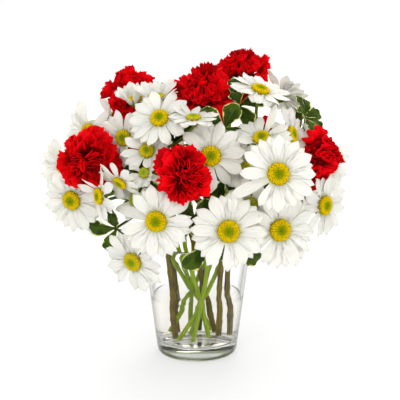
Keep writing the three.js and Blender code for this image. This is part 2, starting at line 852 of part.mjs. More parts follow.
const PAINT = {
  glass: { color: 0xeef3f2, roughness: 0.05, metalness: 0, transparent: true, opacity: 0.35 },
  water: { color: 0xe4efec, roughness: 0.02, metalness: 0, transparent: true, opacity: 0.35 },
  carnation_red: { color: 0xc40a12, roughness: 0.6, metalness: 0 },
  daisy_white: { color: 0xf4f4ee, roughness: 0.6, metalness: 0 },
  daisy_yellow: { color: 0xc9a800, roughness: 0.8, metalness: 0 },
  stem_green: { color: 0x7c9a35, roughness: 0.6, metalness: 0 },
  stem_brown: { color: 0x6f6a2c, roughness: 0.7, metalness: 0 },
  leaf_green: { color: 0x2f4a22, roughness: 0.45, metalness: 0 },
};

const bouquet = new THREE.Group();
bouquet.name = "carnations_and_daisies_in_a_vase";

function show(name, geometry, paint) {
  const mesh = new THREE.Mesh(geometry, new THREE.MeshStandardMaterial(PAINT[paint]));
  mesh.name = name;
  bouquet.add(mesh);
}

const greens = {}; // solids of each green body, to be fused

function addGreen(body, solid) {
  greens[body] ??= [];
  greens[body].push(solid);
  return solid;
}

const glass = vase();
stand(solidOf(glass), "vase");
show("glass_vase", glass, "glass");

CARNATIONS.forEach((row, i) => {
  const number = i + 1;
  const head = stand(carnationHead(row, number), "head_" + number);
  show("carnation_head_" + number, geometryOf(head), "carnation_red");
});

const daisies = new Map();
for (const [spray, rows] of Object.entries(SPRAYS)) {
  for (const row of rows) {
    const daisy = new Daisy(row, spray);
    daisies.set(daisy.number, daisy);
    stand(daisy.core(), daisy.owner);
  }
}

const carnationStems = CARNATIONS.map((row, i) => {
  const stem = carnationStem(row, i + 1);
  addGreen(stem.group, stem.solid);
  return stem;
});

const sprayLines = {};
for (const [spray, stems] of Object.entries(SPRAY_STEMS)) {
  sprayLines[spray] = stems.map((rows) => {
    const stem = woodyStem(rows, STEM.spray, spray);
    addGreen(spray, stem.solid);
    return stem.line;
  });
}
const branch = woodyStem(BRANCH, STEM.branch, "foliage");
addGreen("foliage", branch.solid);

for (const { axis, back, spray, discRadius, owner } of daisies.values()) {
  const flare = [[0.25, STEM.peduncle * 1.4], [1, discRadius * 0.74]];
  const lines = sprayLines[spray];
  const owners = [spray, owner];
  const found = stalk(lines, back, axis, STEM.peduncle, STEM.peduncleSides, flare, owners);
  stand(addGreen(spray, found.solid), spray);
}

// Twigs, each with the hub of its leaves; one that finds no clear way is left out.
const whorls = [];
WHORLS.forEach(([x, y, z, azimuth, elevation, length, leaves], i) => {
  const whorl = new Star(200 + i, point(x, y, z), azimuth, elevation, length * 2, leaves, LEAF);
  const hub = evenTube([whorl.local(0, 0, -1.6), whorl.local(0, 0, 0.8)], 2.6, 6);
  const back = whorl.local(0, 0, -0.3);
  const ends = [[1, STEM.twig]];
  const found = stalk([branch.line], back, whorl.axis, STEM.twig, STEM.twigSides, ends, ["foliage"]);
  if (!found || !isClear(hub, ["foliage"])) return;
  stand(addGreen("foliage", found.solid), "foliage");
  stand(hub, "foliage");
  whorls.push(whorl);
});

for (const daisy of daisies.values()) daisy.grow();
for (const [name, numbers] of Object.entries(PETAL_BODIES)) {
  const body = petalBody(numbers.map((number) => daisies.get(number)));
  show("daisy_petals_" + name, geometryOf(body), "daisy_white");
}
for (const daisy of daisies.values()) {
  show("daisy_disc_" + daisy.number, geometryOf(daisy.disc()), "daisy_yellow");
}

for (const [number, share, azimuth] of BLADE_LEAVES) {
  const { group, line } = carnationStems[number - 1];
  const place = share * (line.length - 1);
  const [from, to] = [line[Math.floor(place)], line[Math.ceil(place)]];
  const root = between(from, to, place % 1);
  const up = to.clone().sub(from).normalize();
  const turns = [0, 20, -20, 45, -45, 80, -80];
  const tries = turns.flatMap((turn) => [0.8, 1.3, 0.5].map((out) => [turn, out]));
  const make = ([turn, out]) => {
    const a = degToRad(azimuth + turn);
    const outward = point(Math.sin(a), -Math.cos(a), 0);
    return { solid: bladeLeaf(root, up.clone().addScaledVector(outward, out).normalize()) };
  };
  const found = firstClear(tries, make, [group]);
  if (found) stand(addGreen(group, found.solid), group);
}
for (const whorl of whorls) {
  whorl.grow(["foliage"]);
  addGreen("foliage", whorl.plate());
}

for (const [name, solids] of Object.entries(greens)) {
  const carnation = name in CROSSINGS;
  const foliage = name === "foliage";
  const title = foliage ? "foliage" : (carnation ? "carnation_stems_" : "daisy_stems_") + name;
  const paint = foliage ? "leaf_green" : carnation ? "stem_green" : "stem_brown";
  show(title, geometryOf(fuse(solids)), paint);
}
show("water", geometryOf(water(holes)), "water");

export default bouquet;
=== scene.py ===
"""Red carnations and white daisies with variegated foliage, in water in a clear glass vase.

The tables and rules of placing are those of the solids. Each petal, stem and leaf finds which of its
possible bends the solid has, and a finer one is built in the same place.
Lengths are in millimetres until a mesh is made.
"""

import math

import bpy
import numpy as np
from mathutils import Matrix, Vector
from mathutils.bvhtree import BVHTree
from mathutils.kdtree import KDTree


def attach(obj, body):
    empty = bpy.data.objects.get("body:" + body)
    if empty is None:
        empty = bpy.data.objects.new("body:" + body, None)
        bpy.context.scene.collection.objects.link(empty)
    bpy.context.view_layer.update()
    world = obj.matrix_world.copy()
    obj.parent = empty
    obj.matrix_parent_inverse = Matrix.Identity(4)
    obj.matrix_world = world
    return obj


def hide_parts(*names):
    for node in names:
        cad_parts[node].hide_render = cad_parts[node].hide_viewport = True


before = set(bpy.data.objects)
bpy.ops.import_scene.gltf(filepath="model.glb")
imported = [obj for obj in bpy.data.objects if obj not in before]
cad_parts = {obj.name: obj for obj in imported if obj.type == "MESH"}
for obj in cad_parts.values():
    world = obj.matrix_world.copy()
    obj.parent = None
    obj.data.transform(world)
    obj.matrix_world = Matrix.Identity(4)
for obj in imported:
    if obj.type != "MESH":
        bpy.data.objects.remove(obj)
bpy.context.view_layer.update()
scene = bpy.context.scene
MM = 0.001

# ---- places and dimensions

GAP = 0.3  # between two pieces that touch
VASE = {"height": 118, "foot": 35, "base": 41, "base_height": 8, "mouth": 55, "wall": 3, "floor": 13}
WATER_LEVEL = 62
DAISY = {
    "disc_share": 0.14, "blade": 0.85, "shoulder_at": 0.64, "width_share": 0.19, "tip_share": 0.52,
    "cup": 8, "curl": 14, "wander": 14, "fold": 0,
}
LEAF = {
    "notch_radius": 2.2, "blade": 0.8, "shoulder_at": 0.62, "width_share": 0.3, "tip_share": 0.5,
    "cup": 24, "curl": 26, "wander": 24, "fold": 1.2,
}
STEM = {"carnation": 2.2, "spray": 2.7, "branch": 2.2, "peduncle": 1.4, "twig": 1.2}
CARNATION_SINK = 13  # from the middle of a head to its root
CALYX = [(0.12, 4.4), (0.6, 5.6), (1, 5.2)]  # share of its length, radius
CALYX_LENGTH = 24
BLADE_LEAF = {"length": 46, "width": 5.4, "blade": 0.8, "rise": 0.14}

# Daisies of each spray: number, x, y, z of the disc, facing azimuth and elevation, width, petals.
SPRAYS = {
    "right": [
        [1, 29, -118, 156, 5, 8, 74, 12], [2, 77, -98, 152, 20, 5, 74, 12],
        [5, 73, -126, 211, 10, 14, 72, 12], [6, 13, -94, 221, -4, 14, 68, 11],
        [7, 121, -62, 167, 46, 4, 66, 11], [13, 48, -88, 208, -25, 10, 52, 9],
        [14, 50, -86, 174, -5, -10, 52, 9],
    ],
    "left": [
        [3, -37, -112, 164, -8, 2, 70, 11], [4, -60, -84, 118, -32, -12, 66, 11],
        [15, -70, -100, 198, -40, -35, 50, 9], [16, -90, -88, 182, -58, 0, 56, 9],
        [17, -120, -48, 169, -24, -5, 66, 10], [21, -57, -84, 178, -25, 12, 44, 8],
        [35, -111, -25, 155, -50, -10, 58, 9],
    ],
    "top_left": [
        [8, -34, -82, 254, -18, 38, 62, 10], [9, -3, -94, 256, 0, 80, 50, 10],
        [18, -46, -84, 224, -8, 30, 50, 9], [19, -48, -97, 206, -20, 20, 36, 8],
        [20, -69, -54, 231, -25, 5, 56, 9], [22, -38, -47, 268, -10, 80, 56, 9],
        [23, -59, -36, 264, -35, 75, 50, 8],
    ],
    "top_right": [
        [10, 59, -62, 277, 45, 66, 62, 10], [11, 60, -86, 236, -10, 52, 58, 10],
        [12, 89, -60, 235, 62, 18, 58, 9], [28, 83, 18, 261, 150, 40, 62, 12],
        [29, 118, 4, 222, 66, 28, 56, 9], [30, 131, 10, 190, 42, 0, 64, 10],
        [34, 126, 46, 168, 115, -5, 62, 9],
    ],
    "back": [
        [24, -84, 30, 233, -158, 24, 64, 9], [25, -108, 22, 222, -40, 12, 70, 10],
        [26, -130, 4, 189, -28, 0, 68, 9], [27, -122, 56, 184, -112, 6, 58, 9],
        [32, 38, 98, 158, 160, -5, 64, 9], [33, -28, 104, 171, -166, 0, 66, 10],
        [31, -2, 94, 238, 178, 32, 66, 9],
    ],
}
# Daisies whose petals are one solid.
PETAL_BODIES = {
    "right": [1, 2, 14, 5, 13, 6, 7],
    "left": [3, 4, 21, 15, 16, 17, 35],
    "top_left": [8, 9, 18, 19, 20, 22, 23],
    "top_right": [10, 11, 12],
    "far_right": [28, 29, 30, 34],
    "far_left": [24, 25, 26, 27],
    "back": [33, 32, 31],
}
# Degrees by which the petals of some rise, and how ripe the discs of the young ones are.
CUPPED = {19: 46, 21: 40, 13: 22, 14: 22, 18: 24, 9: 12, 22: 40, 23: 55}
YOUNG = {19: 0.0, 21: 0.0, 9: 0.25, 14: 0.1, 22: 0.35, 13: 0.45, 18: 0.55, 4: 0.6, 20: 0.6}

# Carnations: x, y, z of the middle of the head, facing azimuth and elevation, width.
CARNATIONS = [
    [-13, -118, 207, -3, 10, 58],
    [-104, -72, 212, -28, 12, 64],
    [5, -43, 272, 0, 46, 71],
    [47, 5, 288, 20, 52, 56],
    [-70, 12, 267, -40, 45, 58],
    [120, -50, 209, 52, 10, 60],
    [-62, 80, 222, -150, 22, 60],
    [70, 84, 202, 148, 14, 60],
]
# Woody stems of each spray: foot, place at the mouth of the vase, and two more.
SPRAY_STEMS = {
    "right": [[[20, -6, 20], [26, -20, 118], [40, -46, 158], [46, -62, 186]]],
    "left": [[[-20, -8, 17], [-31, -17, 118], [-48, -40, 150], [-62, -50, 176]]],
    "top_left": [[[16, 22, 16], [-4, -4, 118], [-20, -26, 180], [-32, -42, 222]]],
    "top_right": [[[30, 4, 17], [34, 8, 118], [60, 0, 178], [76, -10, 214]]],
    "back": [
        [[-18, 20, 16], [-30, 22, 118], [-66, 22, 170], [-86, 16, 208]],
        [[-18, 20, 16], [-30, 22, 118], [-16, 56, 160], [-8, 66, 196]],
    ],
}
# Where the carnation stems of each group cross, and for each stem its group, foot and place at the mouth.
CROSSINGS = {"near": [4, -12, 54], "far": [-5, 14, 60]}
CARNATION_STEMS = [
    ["near", [11, -14, 20], [-12, -26, 118]],
    ["far", [12, 4, 22], [-36, -4, 118]],
    ["near", [-6, 0, 20], [12, -22, 118]],
    ["near", [-4, -27, 19], [18, 6, 118]],
    ["far", [12, 26, 18], [-22, 4, 118]],
    ["near", [-17, -16, 18], [34, -8, 118]],
    ["far", [-6, 29, 20], [-4, -2, 118]],
    ["far", [-25, 6, 20], [18, 26, 118]],
]
# Narrow leaves: carnation, share of its stem, azimuth.
BLADE_LEAVES = [[1, 0.5, 150], [3, 0.7, 60], [3, 0.7, 250], [4, 0.72, 20], [4, 0.72, 200], [8, 0.5, 240]]
BRANCH = [[2, 26, 16], [8, 20, 118], [10, 6, 170], [14, -10, 214]]
# Whorls: x, y, z, facing azimuth and elevation, length of a leaf, leaves.
WHORLS = [
    [103, -20, 245, 60, 40, 25, 6], [40, -42, 260, 20, 40, 30, 4],
    [26, -70, 243, 5, 40, 30, 4], [-78, -44, 140, -35, -15, 30, 4],
    [-2, -80, 160, -10, 0, 34, 4], [8, -60, 129, 5, -28, 37, 3],
    [102, -40, 170, 60, 0, 36, 4], [43, -50, 122, 30, -20, 30, 4],
    [26, -66, 192, 0, 10, 36, 4], [-22, -56, 228, -10, 30, 34, 4],
    [-60, -50, 196, -30, 10, 36, 4], [64, 84, 138, 140, -10, 36, 4],
    [-60, 82, 150, -150, -5, 36, 4], [34, 62, 256, 160, 50, 34, 4],
    [-40, 56, 250, -160, 50, 32, 4], [-96, 56, 196, -120, 20, 34, 4],
    [106, 62, 214, 120, 25, 34, 5], [4, 92, 196, 180, 5, 36, 4],
]

# ---- small tools

MATCH_NEAR = 0.12  # how near a point has to be to a corner of the solid
MATCH = {"blade": 0.6, "reach": 0.7, "stalk": 0.4}  # least share of a shape's points that are
# A petal laid on another: its longest way and its width as shares of the daisy's width, where its
# shoulder is on that way, the half width of its tip and how far that passes the middle.
LAID = {"longest": 0.63, "width": 0.42, "shoulder_at": 0.58, "tip": 1.8, "past": 1.2}


def draw(a, b):
    """A repeatable draw from 0 to 1 for two whole numbers."""
    s = math.sin(a * 12.9898 + b * 78.233) * 43758.5453
    return s - math.floor(s)


def draws(seed, count):
    return [draw(seed, n) for n in range(count)]


def vec(*values):
    return np.array(values, float)


def unit(v):
    return v / np.maximum(np.linalg.norm(v, axis=-1, keepdims=True), 1e-9)


def between(a, b, t):
    return a + (b - a) * t


def smooth(t):
    t = np.clip(t, 0, 1)
    return t * t * (3 - 2 * t)


def circle(count):
    """Angles at even steps round a circle."""
    return 2 * np.pi * np.arange(count) / count


def radial(right, up, angle):
    """The direction at each angle in the plane of right and up."""
    angle = np.asarray(angle, float)[..., None]
    return right * np.cos(angle) + up * np.sin(angle)


def basis(azimuth, elevation):
    """Right, up and outward for someone who looks at a thing that faces this way."""
    a, e = math.radians(azimuth), math.radians(elevation)
    axis = vec(math.sin(a) * math.cos(e), -math.cos(a) * math.cos(e), math.sin(e))
    right = vec(math.cos(a), math.sin(a), 0)
    return right, np.cross(axis, right), axis


def across_of(way, beside):
    """Ahead along the way, to its side, and square to both."""
    ahead = unit(way)
    side = unit(np.cross(beside, ahead))
    return ahead, side, unit(np.cross(ahead, side))


def through(points, count):
    """Count + 1 points on the centripetal curve through the points."""
    points = [np.asarray(p, float) for p in points]
    points = [2 * points[0] - points[1], *points, 2 * points[-1] - points[-2]]
    last = len(points) - 3
    made = []
    for i in range(count + 1):
        place = last * i / count
        n = min(int(place), last - 1)
        t = place - n
        p0, p1, p2, p3 = points[n : n + 4]
        d0, d1, d2 = (math.sqrt(np.linalg.norm(b - a)) for a, b in ((p0, p1), (p1, p2), (p2, p3)))
        t1 = ((p1 - p0) / d0 - (p2 - p0) / (d0 + d1) + (p2 - p1) / d1) * d1
        t2 = ((p2 - p1) / d1 - (p3 - p1) / (d1 + d2) + (p3 - p2) / d2) * d1
        c2 = -3 * p1 + 3 * p2 - 2 * t1 - t2
        c3 = 2 * p1 - 2 * p2 + t1 + t2
        made.append(p1 + t1 * t + c2 * t * t + c3 * t * t * t)
    return np.array(made)


def run_along(line):
    """The distance of each point from the start of the line."""
    return np.concatenate([[0], np.cumsum(np.linalg.norm(np.diff(line, axis=0), axis=1))])


def rings(lines, radii, sides):
    """Rings of corners round the points of each line, shape (..., points, sides, 3)."""
    lines = np.asarray(lines, float)
    n = lines.shape[-2]
    ahead = [unit(lines[..., min(i + 1, n - 1), :] - lines[..., max(i - 1, 0), :]) for i in range(n)]
    across = unit(np.cross(vec(1, 0, 0), ahead[0]))
    rows = []
    for t in ahead:
        across = unit(across - t * (across * t).sum(-1, keepdims=True))
        rows.append(across)
    across = np.stack(rows, axis=-2)
    other = np.cross(np.stack(ahead, axis=-2), across)
    spokes = radial(across[..., None, :], other[..., None, :], circle(sides))
    return lines[..., None, :] + spokes * np.reshape(radii, (n, -1, 1))


def moves(reach, step):
    """Sideways moves to try, nearest first."""
    ways = radial(vec(1, 0, 0), vec(0, 1, 0), circle(8))
    return [vec(0, 0, 0), *(way * far for far in range(step, reach + 1, step) for way in ways)]


class Corners:
    """The corners of a CAD node, to tell which of several possible shapes it has."""

    def __init__(self, node):
        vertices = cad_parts[node].data.vertices
        self.tree = KDTree(len(vertices))
        for i, v in enumerate(vertices):
            self.tree.insert(v.co / MM, i)
        self.tree.balance()

    def share(self, points):
        points = np.asarray(points).reshape(-1, 3)
        return sum(self.tree.find(p)[2] < MATCH_NEAR for p in points) / len(points)

    def best(self, candidates):
        """Index and share of the candidate with most of its points on the node's corners."""
        shares = [self.share(c) for c in candidates] or [0]
        i = int(np.argmax(shares))
        return i, shares[i]


# ---- finding each petal, stem and leaf


class Star:
    """A flat star of blades around a hub: the petals of a daisy, or a whorl of leaves."""

    def __init__(self, number, centre, azimuth, elevation, width, count, shape):
        self.number, self.width, self.count, self.shape = number, width, count, shape
        self.centre = vec(*centre)
        self.right, self.up, self.axis = basis(azimuth, elevation)
        self.spin = draw(number, 1) * 360
        self.blades = [None] * count

    def polar(self, angle, side, radius, height):
        out, across = radial(self.right, self.up, np.radians([angle, angle + 90]))
        return self.centre + out * radius + across * side + self.axis * height

    def notch(self, k):
        return self.polar(self.spin + 360 * (k - 0.5) / self.count, 0, self.shape["notch_radius"], 0)

    def blade_end(self, k, bend, share):
        """The corners of a blade's shoulder and tip, for a bend in degrees and a share of its length."""
        s, hub = self.shape, self.shape["notch_radius"]
        angle = self.spin + 360 * k / self.count + (draw(self.number, 40 + k) - 0.5) * 2.6
        length = (self.width / 2 - hub) * share * (0.9 + 0.13 * draw(self.number, 10 + k))
        steep = min(max(s["cup"] + bend + (draw(self.number, 70 + k) - 0.5) * s["wander"], -72), 74)
        rise = np.radians([steep, steep - s["curl"] - bend * 0.3])
        inner = length * s["shoulder_at"]
        shoulder = vec(hub + inner * math.cos(rise[0]), inner * math.sin(rise[0]))
        tip = shoulder + (length - inner) * vec(math.cos(rise[1]), math.sin(rise[1]))
        half = min(self.width * s["width_share"], 0.9 * 2 * math.pi * shoulder[0] / self.count) / 2
        lean = (rise.mean(), rise[1])
        wide, fold = s["tip_share"], s["fold"]
        corners = []
        for row, side, lift in ((0, -1, fold), (1, -wide, 0), (1, wide, 0), (0, 1, fold)):
            radius, height = (shoulder, tip)[row]
            for depth in (0, s["blade"]):
                out, down = depth * math.sin(lean[row]), depth * math.cos(lean[row])
                corners.append(self.polar(angle, side * half, radius + out, height + lift - down))
        return np.array(corners)

    def find(self, corners):
        """Finds each blade's bend and length in the solid."""
        bends = (0, -10, 10, -20, 20, -32, 32, -45, 45, -60, 60)
        tries = [(bend, share) for share in (1, 0.85, 0.7, 0.55, 0.4) for bend in bends]
        for k in range(self.count):
            ends = [self.blade_end(k, *t) for t in tries]
            i, share = corners.best(ends)
            if share > MATCH["blade"]:
                self.keep(k, ends[i], tries[i][1])

    def keep(self, k, end, share, reach=None):
        root = [self.notch(k), self.notch(k + 1)]
        self.blades[k] = {"root": root, "end": end, "share": share, "reach": reach}

    def reaches(self, k, other):
        """Possible corners of blade k laid onto each known blade of another star, and that blade."""
        root = between(self.notch(k), self.notch(k + 1), 0.5)
        half = self.width * self.shape["width_share"] * LAID["width"]
        near, tip, past = LAID["shoulder_at"], LAID["tip"], LAID["past"]
        blade = self.shape["blade"]
        made = []
        for target in filter(None, other.blades):
            way = target["end"].mean(axis=0) - root
            if np.linalg.norm(way) > self.width * LAID["longest"]:
                continue
            ahead, side, normal = across_of(way, self.axis)
            corners = []
            for share, out, on in ((near, -half, 0), (1, -tip, past), (1, tip, past), (near, half, 0)):
                top = root + way * share + ahead * on + side * out + normal * blade / 2
                corners += [top, top - normal * blade]
            made.append((np.array(corners), target))
        return made


def find_daisies():
    made = {}
    for number, x, y, z, azimuth, elevation, width, petals in sum(SPRAYS.values(), []):
        disc = width * DAISY["disc_share"]
        shape = dict(DAISY, notch_radius=disc + 0.6, cup=CUPPED.get(number, DAISY["cup"]))
        daisy = made[number] = Star(number, (x, y, z), azimuth, elevation, width, petals, shape)
        daisy.disc = disc
        daisy.back = daisy.centre - daisy.axis * (DAISY["blade"] + GAP)
    for name, numbers in PETAL_BODIES.items():
        corners = Corners("daisy_petals_" + name)
        group = [made[n] for n in numbers]
        for daisy in group:
            daisy.find(corners)
        for _ in range(3):  # petals laid on a petal of the next daisy, which may itself be one of these
            missing = [(daisy, k) for daisy in group for k in range(daisy.count) if not daisy.blades[k]]
            for daisy, k in missing:
                tries = [t for other in group if other is not daisy for t in daisy.reaches(k, other)]
                i, share = corners.best([end[[0, 1, 6, 7]] for end, _ in tries])
                if share > MATCH["reach"]:
                    daisy.keep(k, tries[i][0], 1, reach=tries[i][1])
    return made


def find_woody(rows, radius, corners):
    foot, mouth, *rest = (vec(*row) for row in rows)
    lines = [
        np.array([foot, *through([mouth + move * 0.35, *(p + move + vec(0, 0, lift) for p in rest)], 3)])
        for move in moves(28, 4)
        for lift in (0, 10, -8)
    ]
    i, _ = corners.best(rings(lines, [radius] * 5, 5)[:, 1:])
    return lines[i]


def find_carnation_stem(number, corners):
    x, y, z, azimuth, elevation, _ = CARNATIONS[number - 1]
    group, foot, mouth = CARNATION_STEMS[number - 1]
    axis = basis(azimuth, elevation)[2]
    back = vec(x, y, z) - axis * (CARNATION_SINK + GAP)
    neck = back - axis * CALYX_LENGTH
    wobble = vec(*(draw(number, seed) * 2 - 1 for seed in (3, 4, 6)))
    crossing = vec(*CROSSINGS[group]) + wobble * vec(1, 1, 2)
    calyx = [between(neck, back, share) for share, _ in CALYX]
    lines = []
    for move in moves(36, 4):
        for lead in (20, 34, 8):
            upper = through([vec(*mouth) + move * 0.3, neck - axis * lead + move, neck], 4)
            lines.append(np.array([vec(*foot), crossing, *upper, *calyx]))
    radii = [STEM["carnation"]] * 7 + [radius for _, radius in CALYX]
    i, _ = corners.best(rings(lines, radii, 5)[:, 2:6])
    return {"group": group, "line": lines[i][:7], "neck": neck, "back": back, "axis": axis}


def find_stalk(lines, back, axis, radius, sides, flare, corners):
    """The line of a stalk from one of the lines to the back of a head or whorl, and its match."""
    neck, target = back - axis * 7, back - axis * 26
    places = [
        between(low, high, share)
        for line in lines
        for low, high in zip(line[:-1], line[1:])
        for share in (0.15, 0.4, 0.65, 0.9)
    ]
    lowest = VASE["height"] + 5
    places = [p for p in places if lowest < p[2] < max(target[2] + 6, lowest + 14)]
    best = (None, 0)
    for start in sorted(places, key=lambda p: np.linalg.norm(p - target))[:8]:
        span = np.linalg.norm(neck - start)
        count = 3 if span > 60 else 2
        t = np.arange(count + 1)[:, None] / count
        tries = []
        for bow in moves(35, 5):
            leave = between(start + vec(0, 0, span * 0.3), neck, 0.2) + bow
            for lead in (0.4, 0.25, 0.55):
                arrive = neck - axis * span * lead + bow * 0.8
                early = start * (1 - t) ** 3 + leave * 3 * t * (1 - t) ** 2
                tries.append(early + arrive * 3 * t * t * (1 - t) + neck * t**3)
        radii = [radius] * (count + 1) + [wide for _, wide in flare]
        ends = [between(neck, back, share) for share, _ in flare]
        i, share = corners.best(rings([[*line, *ends] for line in tries], radii, sides)[:, 1:count])
        if share > best[1]:
            best = (tries[i], share)
    return best


def find_blade_leaf(stem, share, azimuth, corners):
    """Root, direction, side and normal of a narrow leaf, or None where the solid has no such leaf."""
    line = stem["line"][2:]
    place = share * (len(line) - 1)
    low, high = line[math.floor(place)], line[math.ceil(place)]
    root, up = between(low, high, place % 1), unit(high - low)
    length, width, blade = BLADE_LEAF["length"], BLADE_LEAF["width"], BLADE_LEAF["blade"]
    tries, ends = [], []
    for turn in (0, 20, -20, 45, -45, 80, -80):
        for out in (0.8, 1.3, 0.5):
            a = math.radians(azimuth + turn)
            along, side, normal = across_of(up + vec(math.sin(a), -math.cos(a), 0) * out, vec(0, 0, 1))
            tries.append((root, along, side, normal))
            ends.append([
                root + along * length * part + side * width * aside + normal * (length * lift + face)
                for part, aside, lift in ((0.5, -0.5, 0), (1, 0, BLADE_LEAF["rise"]), (0.5, 0.5, 0))
                for face in (blade / 2, -blade / 2)
            ])
    i, match = corners.best(ends)
    return tries[i] if match > MATCH["blade"] else None


# ---- meshes

RIM = 0.35  # share of its thickness that a sheet keeps at its rim
DOME = 0.15  # height of a stem's end as a share of its radius


def lattice(rows, cols):
    """Surface coordinates of a grid of points: cols across it, rows along it."""
    return np.stack(np.broadcast_arrays(cols[None, :], rows[:, None]), axis=-1)


def turned(base, axes, profile, sides, ribs=0, depth=0.0):
    """Rings round an axis for a profile of (radius, height), with ribs where it is over 2 mm."""
    turn = circle(sides)
    radii, heights = np.array(profile, float).T[..., None]
    radii = radii * (1 + depth * np.cos(turn * ribs) * (radii > 2))
    return base + axes[2] * heights[..., None] + radial(axes[0], axes[1], turn) * radii[..., None]


class Body:
    """Gathers the faces of one piece, with surface coordinates and a tint for each part of it."""

    def __init__(self):
        self.points, self.uv, self.tint, self.quads, self.tris = [], [], [], [], []
        self.count = 0

    def add(self, points, uv, tint):
        points = np.asarray(points, float).reshape(-1, 3)
        self.points.append(points)
        self.uv.append(np.asarray(uv, float).reshape(-1, 2))
        self.tint.append(np.full(len(points), tint, float))
        self.count += len(points)
        return self.count - len(points)

    def slab(self, top, thick, rows, cols, tint):
        """A thin closed sheet below the grid top[row, column], where rows and cols are its parameters."""
        normal = unit(np.cross(np.gradient(top, axis=0), np.gradient(top, axis=1)))
        depth = np.full((*top.shape[:2], 1), float(thick))
        depth[[0, -1]] *= RIM
        depth[:, [0, -1]] *= RIM
        uv = lattice(np.clip(rows, 0, 1), (cols + 1) / 2)
        a = self.add(top, uv, tint)
        b = self.add(top - normal * depth, uv, tint)
        grid = np.arange(depth.size).reshape(top.shape[:2])
        faces = np.stack([grid[:-1, :-1], grid[1:, :-1], grid[1:, 1:], grid[:-1, 1:]], axis=-1)
        faces = faces.reshape(-1, 4)
        loop = np.concatenate([grid[:-1, 0], grid[-1, :-1], grid[:0:-1, -1], grid[0, :0:-1]])
        ahead = np.roll(loop, -1)
        rim = np.stack([ahead + a, loop + a, loop + b, ahead + b], axis=-1)
        self.quads += [faces + a, faces[:, ::-1] + b, rim]

    def skin(self, points, uv, tint, low=None, high=None):
        """The surface of a stack of rings, points[ring, corner], with uv for each ring or each point.

        Low and high close the first and last ring: each is a middle point and its uv.
        """
        rows, sides = points.shape[:2]
        if np.ndim(uv) == 1:
            uv = lattice(uv, np.arange(sides) / sides)
        ring = self.add(points, uv, tint) + np.arange(rows * sides).reshape(rows, sides)
        ahead = np.roll(ring, -1, axis=1)
        self.quads.append(np.stack([ring[:-1], ahead[:-1], ahead[1:], ring[1:]], axis=-1).reshape(-1, 4))
        for end, pair in ((low, (ahead[0], ring[0])), (high, (ring[-1], ahead[-1]))):
            if end:
                middle = self.add(*end, tint)
                self.tris.append(np.stack([*pair, np.full(sides, middle)], axis=-1))

    def tube(self, line, radii, sides, tint, ribs=0, depth=0.0, twist=0.0):
        """A round stem with domed ends, and ribs that twist along it."""
        steps = np.arange(len(line))[:, None]
        radii = np.reshape(radii, (-1, 1)) * (1 + depth * np.cos(ribs * circle(sides) + twist * steps))
        run = run_along(line) / 100
        ends = [
            (line[end] + unit(line[end] - line[inner]) * radii[end].mean() * DOME, (0.5, run[end]))
            for end, inner in ((0, 1), (-1, -2))
        ]
        self.skin(rings(line, radii, sides), run, tint, *ends)

    def lathe(self, profile, sides):
        """A solid of revolution about +Z. Its profile of (radius, height) starts and ends on the axis."""
        points = turned(vec(0, 0, 0), np.eye(3), profile[1:-1], sides)
        ends = [((0, 0, profile[end][1]), (0.5, 0)) for end in (0, -1)]
        self.skin(points, points[:, 0, 2] / 100, 0.5, *ends)

    def piece(self, name, slot, node):
        """The gathered faces as a piece that stands for a CAD node."""
        mesh = bpy.data.meshes.new(name)
        faces = [f for block in self.quads + self.tris for f in block.tolist()]
        mesh.from_pydata((np.concatenate(self.points) * MM).tolist(), [], faces, shade_flat=False)
        corners = np.empty(len(mesh.loops), np.int32)
        mesh.loops.foreach_get("vertex_index", corners)
        layer = mesh.uv_layers.new(name="surface")
        layer.data.foreach_set("uv", np.concatenate(self.uv)[corners].astype(np.float32).ravel())
        tint = mesh.attributes.new("tint", "FLOAT", "POINT")
        tint.data.foreach_set("value", np.concatenate(self.tint).astype(np.float32))
        mesh.materials.append(PAINTS[slot])
        mesh.update()
        piece = bpy.data.objects.new(name, mesh)
        scene.collection.objects.link(piece)
        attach(piece, "root")
        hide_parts(node)
        return piece


# ---- materials


